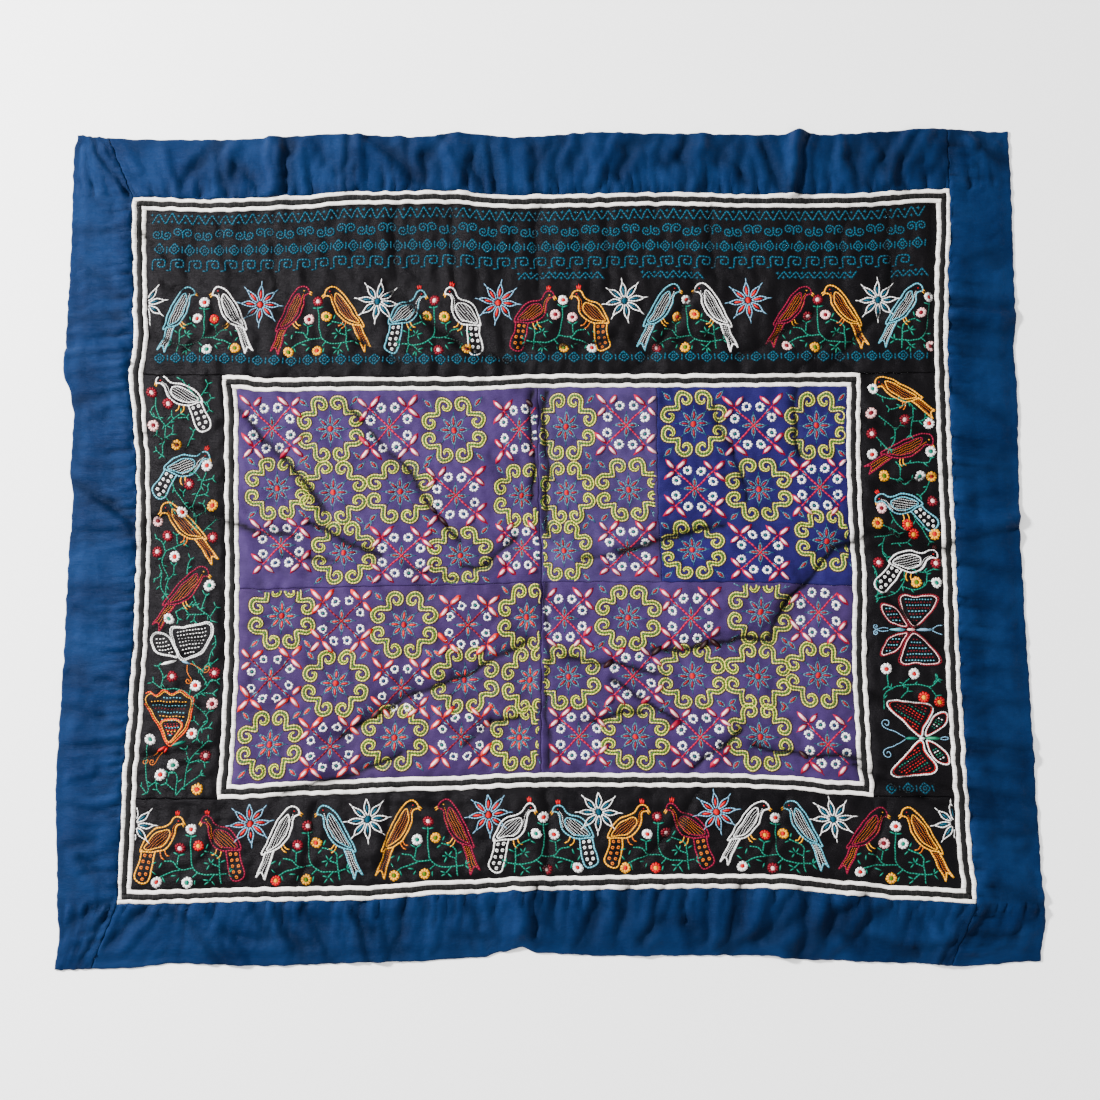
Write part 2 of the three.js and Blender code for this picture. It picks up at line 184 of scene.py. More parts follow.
# Narrow creases that the broad ones carry, in the same columns.
fineFolds = [
    # far black band
    (-285, 455, -150, 360, 9, -3.2), (-150, 360, -30, 305, 8, -2.6), (-40, 345, 165, 362, 8, -2.4),
    (275, 455, 225, 365, 9, -2.8), (225, 365, 165, 305, 8, -2.4), (245, 365, 335, 365, 7, -2.0),
    (355, 325, 495, 410, 8, -2.4), (510, 300, 620, 410, 8, -2.6), (455, 300, 540, 370, 7, -2.0),
    (-705, 370, -640, 345, 8, -2.4), (-640, 345, -525, 420, 8, -2.4), (-340, 370, -255, 315, 7, -2.2),
    (-730, 580, -680, 515, 7, -2.0), (-690, 465, -605, 440, 8, -2.2), (-490, 608, -485, 455, 7, -1.6),
    (-268, 608, -265, 465, 7, -1.8), (-163, 608, -160, 455, 7, -1.8), (-10, 608, -10, 455, 7, -1.8),
    (120, 550, 120, 445, 7, -1.4), (305, 608, 315, 455, 8, -1.8), (630, 608, 630, 455, 8, -2.2),
    (708, 600, 705, 305, 8, -1.6), (560, 608, 540, 500, 7, -1.4), (-590, 600, -570, 500, 8, -1.4),
    # centre
    (-545, 235, -450, 120, 8, -3.0), (-450, 120, -390, 50, 9, -3.4), (-345, 240, -245, 115, 8, -2.4),
    (-245, 115, -155, -5, 9, -3.0), (-640, 50, -450, 5, 9, -3.2), (-425, 30, -300, -30, 10, -3.6),
    (-155, -50, -110, -50, 8, -2.8), (-110, -50, -55, -5, 8, -2.8), (3, 265, 6, 5, 7, -3.2),
    (-22, 262, -20, 60, 6, -2.6), (60, -40, 110, -38, 8, -2.0), (125, -40, 240, 5, 9, -3.2),
    (240, 5, 325, 15, 8, -2.6), (310, 235, 370, 60, 7, -2.2), (455, 270, 460, 150, 8, -2.8),
    (185, -210, 395, -185, 10, -3.8), (395, -185, 430, -120, 9, -3.2), (430, -120, 510, -25, 9, -3.0),
    (510, -25, 620, 15, 9, -3.2), (620, 15, 730, -30, 9, -3.0), (-35, -195, -170, -255, 9, -3.0),
    (-170, -255, -365, -345, 9, -3.0), (35, -220, 215, -255, 8, -2.6), (115, -265, 240, -335, 8, -2.4),
    (-150, -370, -100, -335, 8, -2.2), (-100, -335, -45, -332, 8, -2.2), (70, -335, 175, -320, 8, -2.2),
    (-460, -450, -260, -390, 9, -2.8), (255, -415, 345, -355, 9, -2.8), (365, -380, 550, -390, 8, -2.6),
    (0, -90, 2, -420, 8, -2.0), (-480, -30, -380, -40, 8, -1.8), (-250, -60, -160, -75, 7, -1.6),
    # near black band and the side bands
    (-400, -470, -430, -605, 8, -2.0), (-265, -455, -290, -575, 8, -2.0), (5, -460, 0, -605, 8, -2.4),
    (275, -455, 165, -590, 8, -2.2), (540, -400, 705, -470, 8, -2.4), (-560, -470, -600, -560, 8, -1.8),
    (420, -470, 380, -600, 8, -1.8), (600, -470, 560, -600, 8, -1.8), (-725, 195, -625, 150, 9, -2.4),
    (-715, 40, -600, 30, 8, -2.0), (-715, -165, -620, -185, 8, -2.2), (-715, -290, -610, -300, 8, -1.8),
    (-715, -380, -600, -370, 8, -1.8), (590, 210, 700, 190, 8, -1.8), (600, 95, 715, 110, 8, -1.8),
    (610, -95, 715, -205, 9, -2.6), (590, -280, 715, -300, 8, -2.0), (590, -400, 715, -440, 8, -2.0),
    # border, top side
    (-805, 752, -752, 640, 9, -3.0), (-675, 742, -668, 640, 9, 2.6), (-590, 742, -582, 645, 8, -2.2),
    (-500, 748, -496, 640, 8, 3.0), (-466, 748, -470, 640, 7, -3.2), (-350, 750, -362, 640, 6, -3.2),
    (-330, 752, -338, 650, 9, 2.6), (-245, 745, -235, 650, 9, -2.6), (-190, 750, -150, 660, 9, 2.4),
    (-92, 742, -88, 640, 5, -3.4), (-70, 745, -66, 650, 9, 2.6), (30, 752, -20, 660, 9, -2.4),
    (60, 752, 20, 650, 9, 2.6), (150, 750, 95, 655, 10, 3.0), (182, 750, 140, 655, 8, -2.6),
    (268, 752, 262, 650, 8, -2.4), (300, 752, 282, 650, 10, 2.8), (405, 745, 425, 650, 8, -2.6),
    (470, 760, 450, 640, 9, 4.6), (492, 755, 466, 640, 6, -4.6), (548, 752, 548, 660, 8, 2.6),
    (590, 752, 570, 650, 9, -2.2), (690, 762, 625, 655, 10, 3.2), (655, 760, 600, 660, 8, -2.6),
    (790, 760, 842, 705, 8, -2.8), (765, 762, 800, 715, 8, 2.4),
    # border, near side
    (-790, -752, -755, -640, 9, -3.0), (-650, -640, -560, -748, 9, -3.0), (-600, -640, -520, -748, 9, 2.6),
    (-415, -645, -375, -745, 8, -2.8), (-330, -645, -308, -750, 7, -3.4), (-300, -640, -285, -750, 9, 2.6),
    (-240, -640, -268, -740, 8, -2.6), (-190, -640, -205, -735, 9, 2.0), (-15, -630, -24, -722, 6, -4.4),
    (-45, -630, -50, -720, 10, 3.0), (98, -635, 48, -732, 8, -2.8), (125, -635, 80, -730, 9, 2.4),
    (205, -635, 168, -724, 8, -2.6), (300, -632, 285, -730, 8, 2.0), (342, -634, 312, -736, 8, -2.8),
    (445, -630, 362, -728, 9, -3.0), (560, -635, 432, -745, 10, -3.8), (590, -640, 480, -745, 12, 3.2),
    (640, -645, 600, -745, 9, -2.2), (745, -650, 706, -750, 7, -3.2),
    (-735, -700, -690, -640, 9, -2.6), (-715, -712, -668, -645, 9, 2.2), (-705, -650, -665, -660, 8, -1.8),
    (-500, -645, -478, -700, 9, -2.4), (-478, -648, -455, -712, 9, 2.2), (-455, -700, -410, -718, 9, -2.0),
    (-375, -690, -340, -742, 9, 2.2), (-130, -640, -118, -690, 8, -2.2), (-108, -642, -95, -712, 9, 2.0),
    (-160, -705, -100, -718, 9, -1.8), (20, -640, 12, -700, 8, -2.4), (150, -638, 125, -712, 8, -2.2),
    (235, -690, 260, -728, 9, -2.2), (390, -636, 366, -690, 8, 2.2), (505, -700, 545, -735, 9, -2.0),
    (660, -650, 690, -700, 9, 2.2), (-820, -560, -770, -600, 9, -2.2), (820, -690, 850, -650, 9, -2.2),
    (-560, 700, -520, 660, 9, -2.0), (-410, 735, -395, 690, 9, -2.2), (-130, 700, -112, 655, 8, -2.2),
    (-10, 690, 15, 655, 8, 2.0), (225, 735, 215, 690, 9, -2.2), (345, 700, 372, 655, 8, -2.2),
    (610, 700, 640, 735, 9, 2.0), (740, 700, 700, 655, 9, -2.2), (-730, 735, -715, 690, 9, 2.0),
    # border, slanted folds of the far side
    (-590, 740, -626, 696, 12, -3.0), (-626, 696, -661, 652, 10, -2.8), (-560, 735, -590, 680, 14, 2.6),
    (-562, 696, -572, 646, 8, -2.4), (-477, 745, -459, 712, 9, -3.0), (-459, 712, -473, 667, 9, -2.8),
    (-434, 735, -441, 665, 13, 2.6), (-313, 748, -267, 711, 11, -3.0), (-267, 711, -239, 659, 11, -3.0),
    (-290, 700, -262, 652, 13, 2.4), (-175, 744, -210, 703, 13, -3.0), (-210, 703, -217, 652, 10, -2.8),
    (-122, 722, -143, 652, 10, -2.6), (-26, 748, -8, 716, 10, -2.8), (-8, 716, -15, 660, 10, -2.6),
    (42, 740, 24, 665, 12, -2.6), (84, 738, 59, 688, 11, -2.6), (198, 733, 160, 712, 12, -2.8),
    (160, 712, 139, 663, 11, -2.8), (263, 733, 256, 706, 11, -3.0), (256, 706, 231, 690, 10, -2.6),
    (340, 735, 329, 692, 14, -3.4), (372, 717, 361, 654, 9, -2.4), (413, 728, 426, 679, 9, -2.8),
    (426, 679, 437, 648, 8, -2.4), (535, 733, 535, 695, 9, -2.4), (573, 733, 570, 701, 14, -3.2),
    (570, 701, 584, 650, 11, -2.8), (616, 738, 633, 690, 9, -2.6), (633, 690, 638, 652, 8, -2.4),
    (687, 730, 655, 690, 13, -3.4), (655, 690, 644, 648, 10, -2.8), (705, 735, 672, 690, 14, 3.0),
    (750, 738, 758, 722, 10, -2.6), (758, 722, 738, 655, 10, -2.8), (812, 722, 855, 692, 11, -3.2),
    # border, slanted folds of the near side
    (97, -660, 74, -728, 13, -3.0), (120, -655, 100, -730, 14, 2.6), (147, -638, 135, -688, 8, -2.4),
    (205, -686, 160, -722, 12, -2.8), (241, -634, 242, -684, 7, -2.8), (242, -684, 258, -700, 7, -2.2),
    (294, -640, 276, -720, 9, -2.2), (350, -645, 332, -700, 13, -3.2), (332, -700, 304, -735, 12, -2.8),
    (376, -650, 350, -712, 15, 3.2), (438, -680, 388, -714, 12, -3.4), (388, -714, 312, -738, 10, -2.6),
    (461, -640, 442, -735, 10, -3.6), (482, -650, 462, -730, 14, 3.2), (507, -668, 422, -733, 12, -3.0),
    (558, -714, 640, -724, 11, -3.0), (640, -724, 728, -714, 10, -2.2), (575, -700, 700, -704, 14, 2.4),
    (581, -656, 528, -710, 11, -3.0), (768, -655, 724, -738, 11, -3.0),
    (-300, -690, -250, -735, 13, -2.6), (-460, -650, -430, -735, 13, -2.6),
    (-560, -690, -500, -700, 12, -2.2),
    # border, left and right sides
    (751, -443, 866, -458, 10, -3.0), (751, -471, 800, -494, 10, -2.6), (760, -690, 815, -700, 10, -2.4),
    (-840, 500, -790, 470, 9, -2.2), (-835, 455, -775, 445, 9, 1.8), (-845, 215, -800, 232, 9, 2.2),
    (-845, 130, -790, 125, 8, -2.2), (-840, -130, -790, -142, 9, -2.2), (-845, -300, -785, -315, 9, -2.2),
    (-842, -420, -800, -405, 9, 2.0), (-845, -540, -790, -525, 9, -2.2), (775, 500, 835, 520, 9, -2.2),
    (770, 335, 840, 325, 9, -2.2), (765, 170, 835, 160, 9, -2.2), (780, 70, 840, 78, 8, -2.0),
    (765, -110, 840, -125, 9, -2.4), (770, -140, 840, -150, 9, 2.0), (765, -240, 835, -235, 9, -2.2),
    (780, -410, 845, -418, 9, -2.2), (780, -520, 850, -515, 9, -2.2),
    (-868, 560, -765, 570, 9, -1.8), (-870, 395, -768, 400, 8, -2.4), (-870, 372, -766, 380, 8, 2.0),
    (-878, 330, -770, 350, 10, 3.2), (-862, 245, -765, 262, 9, -3.2), (-858, 165, -760, 170, 9, 1.8),
    (-858, 95, -790, 60, 8, -3.8), (-790, 60, -745, 25, 8, -3.4), (-858, 8, -750, 14, 6, -2.6),
    (-852, -40, -750, -50, 9, 2.0), (-848, -95, -748, -88, 8, -2.2), (-850, -180, -750, -190, 9, 1.8),
    (-850, -240, -750, -256, 8, -2.4), (-852, -370, -755, -356, 8, -2.4), (-855, -470, -758, -480, 9, -2.0),
    (-860, -690, -770, -640, 10, -2.4), (752, 425, 857, 420, 8, -2.4), (752, 382, 855, 372, 7, -3.0),
    (752, 402, 857, 398, 9, 2.4), (745, 265, 845, 215, 10, -2.2), (738, 110, 850, 120, 9, -1.8),
    (735, 20, 860, 40, 10, 3.0), (735, -15, 862, 20, 7, -3.6), (750, -45, 855, -62, 8, -2.4),
    (750, -185, 855, -195, 8, -2.0), (750, -300, 860, -290, 9, -1.8), (750, -365, 868, -370, 7, -2.8),
    (755, -450, 870, -505, 9, -2.4), (765, -560, 872, -590, 9, 2.0), (775, -605, 872, -636, 8, -2.8),
]
relief = {
    # the broad lift of the whole, and of the border's own edge
    "loft": 4.0, "puff": 2.6, "flatRim": 44, "rise": 60, "settle": 0.4,
    "borderLoft": 3.8, "borderEdge": 7, "borderRise": 24, "floorEase": 1.2, "floorSink": 0.35,
    # folds: how narrow the broad ones are, how strong the fine ones, and the ridges at their sides
    "mainNarrowing": 0.75, "fineGain": 2.0, "flankWidth": 2.3, "flankShare": -0.42, "bend": 3.6,
    # gathers and puckers of the border
    "gather": 2.8, "gatherReach": 38, "gatherRise": 3, "gatherSkew": 0.12, "gatherSpacing": [13, 19, 29, 47],
    "pucker": 2.3, "puckerCell": (11, 46), "puckerBend": 8, "puckerWave": 15, "puckerDrift": 57,
    "puckerLeast": 0.32, "puckerReach": 45, "puckerRise": 5, "gatherSeed": 7, "puckerSeed": 30,
    # crumples of each cloth: height, and the cells of each pattern
    "borderCrumple": 1.5, "borderCells": [(46, 62), (21, 27)],
    "panelCrumple": 1.5, "panelCells": [(24, 24), (15, 17)],
    "bandCrumple": 1.8, "bandCells": [(17, 60), (40, 16), (26, 26)],
    "smallCrumple": 1.05, "smallCell": (10, 11),
    "edgePucker": 1.5, "edgeReach": 15, "edgeRise": 4, "edgeCell": (9, 40),
    "seamDip": 2.0, "seamDipWidth": 9, "seamDipFlat": 12,
    "waver": 0.75, "waverSpacing": [21, 34, 55],
}
# Painted shade: how dark the creases are at their core, beside it, and in the border's valleys, and how dark
# the hollows of the fine relief are.
creaseShades = {
    "core": {"width": 3.8, "depth": 0.56, "most": 0.95},
    "beside": {"width": 15, "depth": 0.08, "most": 0.34},
    "border": {"width": 15, "depth": 0.11, "most": 0.5},
    "hollow": {"depth": 0.13, "most": 0.5},
    "brokenCell": (17, 17), "brokenLeast": 0.76, "brokenMore": 0.4,
}


def smooth(t):
    t = np.clip(t, 0, 1)
    return t * t * (3 - 2 * t)


def easedTable(bows, at):
    # The table's value at each place, eased between its rows.
    places = np.array([bow[0] for bow in bows], float)
    shifts = np.array([bow[1] for bow in bows], float)
    after = np.clip(np.searchsorted(places, at), 1, len(places) - 1)
    t = smooth((at - places[after - 1]) / (places[after] - places[after - 1]))
    return shifts[after - 1] + (shifts[after] - shifts[after - 1]) * t


def seamShift(seams, across, along):
    lines = np.array([seam[0] for seam in seams])
    shifts = np.stack([easedTable(seam[1], along) for seam in seams])
    after = np.clip(np.searchsorted(lines, across, side="right"), 1, len(lines) - 1)
    t = np.clip((across - lines[after - 1]) / (lines[after] - lines[after - 1]), 0, 1)
    index = np.arange(len(across))
    return shifts[after - 1, index] * (1 - t) + shifts[after, index] * t


def slantShift(u, v):
    shift = np.zeros_like(u)
    for seam, start, end, by in cornerSlants:
        grow = np.clip((v - start) / (end - start), 0, 1)
        shift += by * grow * np.maximum(0, 1 - np.abs(u - seam) / slantReach)
    return shift


def foldSum(u, v, folds, narrowing=1.0):
    total = np.zeros_like(u)
    for startU, startV, endU, endV, width, height in folds:
        alongU, alongV = endU - startU, endV - startV
        t = ((u - startU) * alongU + (v - startV) * alongV) / (alongU ** 2 + alongV ** 2)
        t = np.clip(t, 0, 1)
        away = (u - startU - alongU * t) ** 2 + (v - startV - alongV * t) ** 2
        total += height * np.exp(-away / (width * narrowing) ** 2)
    return total


def bend(u, v):
    # Bends the ground a little, so that straight folds wander.
    by = relief["bend"]
    bentU = u + by * np.sin(v / 27) + 0.5 * by * np.sin(v / 11 + u / 40)
    bentV = v + by * np.sin(u / 31) + 0.5 * by * np.sin(u / 12)
    return bentU, bentV


def ripple(at, spacings, seed):
    # Uneven waves along a seam, as gathers make.
    chance = np.random.default_rng(seed)
    total = np.zeros_like(at)
    for spacing in spacings:
        drift = spacing * 0.35 * np.sin(at * 2 * math.pi / (spacing * 7.3) + chance.uniform(0, 6))
        total += np.sin((at + drift) * 2 * math.pi / spacing + chance.uniform(0, 6))
    return total / math.sqrt(len(spacings))


def crumple(u, v, cell, seed):
    # Soft random hills on a grid of the given cell sizes.
    chance = np.random.default_rng(seed)
    hills = chance.uniform(-1, 1, (256, 256))
    x, y = u / cell[0] + 1000, v / cell[1] + 1000
    x0, y0 = np.floor(x).astype(int), np.floor(y).astype(int)
    tx, ty = smooth(x - x0), smooth(y - y0)
    near = hills[y0 % 256, x0 % 256] * (1 - tx) + hills[y0 % 256, (x0 + 1) % 256] * tx
    far = hills[(y0 + 1) % 256, x0 % 256] * (1 - tx) + hills[(y0 + 1) % 256, (x0 + 1) % 256] * tx
    return near * (1 - ty) + far * ty


def within(at, low, high, fade=6):
    return smooth((at - low) / fade + 0.5) * smooth((high - at) / fade + 0.5)


def sideGathers(away, along, side):
    # Gathers beside one side's seam, and uneven puckers that run on to the rim.
    r = relief
    outwards = np.maximum(away, 0)
    depth = np.exp(-outwards / r["gatherReach"]) * smooth(away / r["gatherRise"])
    waves = ripple(along + away * r["gatherSkew"], r["gatherSpacing"], r["gatherSeed"] + side)
    bent = along + r["puckerBend"] * np.sin(away / r["puckerWave"] + along / r["puckerDrift"])
    puckers = crumple(bent, away, r["puckerCell"], r["puckerSeed"] + side)
    fade = r["puckerLeast"] + (1 - r["puckerLeast"]) * np.exp(-outwards / r["puckerReach"])
    return r["gather"] * depth * waves + r["pucker"] * puckers * fade * smooth(away / r["puckerRise"])


def fineRelief(u, v):
    # Gathers beside the border's seams, and crumples in each cloth.
    r = relief
    outerEdges = columns[outerLeft], columns[outerRight], rows[outerNear], rows[outerFar]
    innerEdges = columns[innerLeft], columns[innerRight], rows[innerNear], rows[innerFar]
    left, right, near, far = outerEdges
    total = np.zeros_like(u)
    for side, (away, along) in enumerate([(v - far, u), (near - v, u), (left - u, v), (u - right, v)]):
        total += (away > 0) * sideGathers(away, along, side)
    inBorder = (u < left) | (u > right) | (v < near) | (v > far)
    wide, narrow = r["borderCells"]
    soft = crumple(u, v, wide, seed=3) + 0.5 * crumple(u + 0.4 * v, v - 0.3 * u, narrow, seed=4)
    total += inBorder * r["borderCrumple"] * soft
    inCentre = within(u, *innerEdges[:2]) * within(v, *innerEdges[2:])
    wide, narrow = r["panelCells"]
    quilted = crumple(u + 0.5 * v, v, wide, seed=5) + 0.7 * crumple(u, v + 0.6 * u, narrow, seed=6)
    total += inCentre * r["panelCrumple"] * quilted
    inBand = (1 - inCentre) * ~inBorder
    upright, level, slanted = r["bandCells"]
    isFar = v > rows[innerFar]
    bands = crumple(u, v, upright, seed=8) * isFar + crumple(u, v, level, seed=9) * ~isFar
    total += inBand * r["bandCrumple"] * (bands + 0.6 * crumple(u - v, u + v, slanted, seed=10))
    for inner, (left, right, near, far) in ((inCentre, innerEdges), (inBand, outerEdges)):
        for away, along in ((u - left, v), (right - u, v), (v - near, u), (far - v, u)):
            close = np.exp(-np.abs(away) / r["edgeReach"]) * smooth(away / r["edgeRise"])
            total += inner * r["edgePucker"] * close * crumple(along, away, r["edgeCell"], seed=16)
    wandered = u + 6 * np.sin(v / 19), v + 6 * np.sin(u / 23)
    total += ~inBorder * r["smallCrumple"] * crumple(*wandered, r["smallCell"], seed=12)
    return total


# The frames whose seams pull the cloth down, and how far past the corners they do so.
seamRings = [(outerLeft, outerRight, outerNear, outerFar, 40),
             (innerLeft, innerRight, innerNear, innerFar, 30)]


def seamDips(u, v):
    # How near each point is to the frames' seams: 1 on the seam.
    dip = np.zeros_like(u)
    for left, right, near, far, reach in seamRings:
        beside = (u > columns[left] - reach) & (u < columns[right] + reach)
        between = (v > rows[near] - reach) & (v < rows[far] + reach)
        seams = [(u - frameMiddle(columns, left), between),
                 (u - frameMiddle(columns, right - stripCount), between),
                 (v - frameMiddle(rows, near), beside), (v - frameMiddle(rows, far - stripCount), beside)]
        for away, inReach in seams:
            past = np.maximum(np.abs(away) - relief["seamDipFlat"], 0)
            dip = np.maximum(dip, inReach * np.exp(-(past / relief["seamDipWidth"]) ** 2))
    return dip


def undersideHeight(u, v):
    r = relief
    rim = np.minimum(np.minimum(u - columns[rimLeft], columns[rimRight] - u),
                     np.minimum(v - rows[rimNear], rows[rimFar] - v))
    height = np.maximum((r["loft"] + r["puff"]) * smooth((rim - r["flatRim"]) / r["rise"]),
                        r["borderLoft"] * smooth((rim - r["borderEdge"]) / r["borderRise"]))
    height = height + foldSum(u, v, mainFolds, r["mainNarrowing"]) - r["settle"]
    bent = bend(u, v)
    creases = foldSum(*bent, fineFolds) + r["flankShare"] * foldSum(*bent, fineFolds, r["flankWidth"])
    height = height + r["fineGain"] * creases + fineRelief(u, v) - r["seamDip"] * seamDips(u, v)
    # eased where it would go through the floor
    return np.maximum(0, 0.5 * (height + np.sqrt(height ** 2 + r["floorEase"])) - r["floorSink"])


def creaseShade(u, v):
    # Painted shade: how much light is left in the creases and hollows, 1 away from them.
    shades = creaseShades
    valleys = [fold for fold in fineFolds if fold[-1] < 0]
    inFrame = within(u, columns[outerLeft], columns[outerRight]) * within(v, rows[outerNear], rows[outerFar])
    broken = shades["brokenLeast"] + shades["brokenMore"] * crumple(u, v, shades["brokenCell"], seed=14)
    bent = bend(u, v)

    def dimmed(shade, share, where):
        folds = [(*fold[:4], shade["width"], fold[-1]) for fold in valleys]
        return 1 - np.clip(-foldSum(*bent, folds) * shade["depth"] * share, 0, shade["most"]) * where

    creases = dimmed(shades["core"], broken, inFrame) * dimmed(shades["beside"], 1, inFrame)
    hollow = 1 - np.clip(-fineRelief(u, v) * shades["hollow"]["depth"], 0, shades["hollow"]["most"])
    return creases * dimmed(shades["border"], 1, 1 - inFrame) * hollow


def layOut(u, v):
    # Where points of the flat cloth lie: metres, before the whole is centred.
    waver, spacing = relief["waver"], relief["waverSpacing"]
    x = u + seamShift(uprightSeams, u, v) + slantShift(u, v) + waver * ripple(v + 0.15 * u, spacing, 21)
    y = v + seamShift(levelSeams, v, u) + waver * ripple(u + 0.15 * v, spacing, 22)
    return np.stack([x, y, undersideHeight(u, v)], axis=-1) * metre


def measureCentre():
    # The middle of the rim's box, which the CAD puts at its origin.
    count = 800
    across = np.linspace(columns[0], columns[-1], count)
    deep = np.linspace(rows[0], rows[-1], count)
    rimU = np.concatenate([across, across, np.full(count, columns[0]), np.full(count, columns[-1])])
    rimV = np.concatenate([np.full(count, rows[0]), np.full(count, rows[-1]), deep, deep])
    points = layOut(rimU, rimV)
    cadMiddle = (np.array(cadBox[0]) + np.array(cadBox[1])) / 2
    return (points.min(axis=0) + points.max(axis=0))[:2] / 2 - cadMiddle[:2]


offset = measureCentre()


def lay(points):
    # Where flat points lie on the floor side of the cloth, in metres, and the cloth's normals there.
    u, v = points[:, 0].astype(float), points[:, 1].astype(float)
    nudge = 1.5
    here = layOut(u, v)
    right = layOut(u + nudge, v) - layOut(u - nudge, v)
    ahead = layOut(u, v + nudge) - layOut(u, v - nudge)
    normals = np.cross(right, ahead)
    normals /= np.linalg.norm(normals, axis=1)[:, None]
    here[:, :2] -= offset
    return here, normals


# Materials: cloth, folded strips and thread.
class Wire:
    # Wraps a shader socket, so that maths on values reads as maths.
    def __init__(self, tree, socket):
        self.tree = tree
        self.socket = socket

    def node(self, kind, settings=None, inputs=None, output=0):
        made = self.tree.nodes.new(kind)
        for key, value in (settings or {}).items():
            if key == "stops":
                self.fillRamp(made.color_ramp, value)
            else:
                setattr(made, key, value)
        for key, value in (inputs or {}).items():
            if isinstance(value, list):
                for each in value:
                    self.tree.links.new(each.socket, made.inputs[key])
            elif isinstance(value, Wire):
                self.tree.links.new(value.socket, made.inputs[key])
            else:
                made.inputs[key].default_value = value
        return Wire(self.tree, made.outputs[output])

    def fillRamp(self, ramp, stopList):
        while len(ramp.elements) < len(stopList):
            ramp.elements.new(0.5)
        for element, (place, tone) in zip(ramp.elements, stopList):
            element.position = place
            element.color = (tone, tone, tone, 1)

    def maths(self, operation, left, right):
        return self.node("ShaderNodeMath", {"operation": operation}, {0: left, 1: right})

    def __add__(self, other):
        return self.maths("ADD", self, other)

    def __radd__(self, other):
        return self.maths("ADD", other, self)

    def __sub__(self, other):
        return self.maths("SUBTRACT", self, other)

    def __rsub__(self, other):
        return self.maths("SUBTRACT", other, self)

    def __mul__(self, other):
        return self.maths("MULTIPLY", self, other)

    def __rmul__(self, other):
        return self.maths("MULTIPLY", other, self)


def linear(red, green, blue):
    # A colour as seen on screen, 0 to 255, as the renderer's linear light.
    tones = []
    for tone in (red, green, blue):
        share = tone / 255
        tones.append(share / 12.92 if share <= 0.04045 else ((share + 0.055) / 1.055) ** 2.4)
    return (*tones, 1.0)


def newMaterial(name, finish):
    material = bpy.data.materials.new(name)
    material.use_nodes = True
    tree = material.node_tree
    tree.nodes.clear()
    output = tree.nodes.new("ShaderNodeOutputMaterial")
    shader = tree.nodes.new("ShaderNodeBsdfPrincipled")
    tree.links.new(shader.outputs[0], output.inputs[0])
    for socket, value in finish.items():
        shader.inputs[socket].default_value = value
    return material, shader, Wire(tree, None)


def feed(shader, socketName, wire):
    wire.tree.links.new(wire.socket, shader.inputs[socketName])


def raiseSurface(start, shader, strength, distance, height):
    bump = start.node("ShaderNodeBump", {}, {"Strength": strength, "Distance": distance, "Height": height})
    feed(shader, "Normal", bump)


black = (0.0, 0.0, 0.0, 1.0)


def shadeCreases(start, colour):
    # Paints shade into a colour, where the mesh says that a crease or hollow takes the light.
    lit = start.node("ShaderNodeAttribute", {"attribute_name": "creaseShade"}, {}, output=2)
    return mixColours(start, lit, black, colour)


def mixColours(start, factor, first, second):
    return start.node("ShaderNodeMix", {"data_type": "RGBA", "clamp_result": True},
                      {0: factor, 6: first, 7: second}, output=2)


def noise(start, coordinates, scale, detail, stretch=None):
    if stretch:
        coordinates = start.node("ShaderNodeMapping", {}, {"Vector": coordinates, "Scale": stretch})
    return start.node("ShaderNodeTexNoise", {}, {"Vector": coordinates, "Scale": scale, "Detail": detail})


def ramp(start, value, stopList):
    return start.node("ShaderNodeValToRGB", {"stops": stopList}, {"Fac": value})


# Scales of the dye's mottling, of the slubs, the wrinkles and the weave, then the surface.
plainCloth = {
    "mottle": 12, "slub": 60, "slubStretch": (1.0, 14.0, 1.0), "wrinkle": 38, "weave": 279, "waver": 0.6,
    "rough": 0.55, "gloss": 0.14, "bump": 0.6, "raise": 0.0022,
}
clothFinishes = {
    "blueSateen": {"light": (10, 34, 68), "dark": (4, 22, 52), "streak": (14, 46, 86),
                   "shine": (122, 150, 205), "rough": 0.48, "gloss": 0.12, "bump": 0.7, "mottle": 14},
    "blackCloth": {"light": (8, 7, 8), "dark": (3, 3, 4), "streak": (20, 17, 19), "shine": (222, 215, 225),
                   "weave": 310, "rough": 0.42, "gloss": 0.08, "bump": 0.62, "mottle": 14},
    "purpleCloth": {"light": (53, 37, 80), "dark": (39, 26, 62), "streak": (67, 50, 92),
                    "shine": (205, 185, 225)},
    "greyPurpleCloth": {"light": (55, 42, 84), "dark": (40, 29, 66), "streak": (74, 56, 92),
                        "shine": (205, 190, 220)},
    "royalCloth": {"light": (28, 20, 73), "dark": (19, 12, 56), "streak": (36, 38, 102),
                   "shine": (160, 170, 230)},
    "violetCloth": {"light": (51, 34, 74), "dark": (37, 24, 57), "streak": (66, 47, 88),
                    "shine": (205, 185, 220)},
}


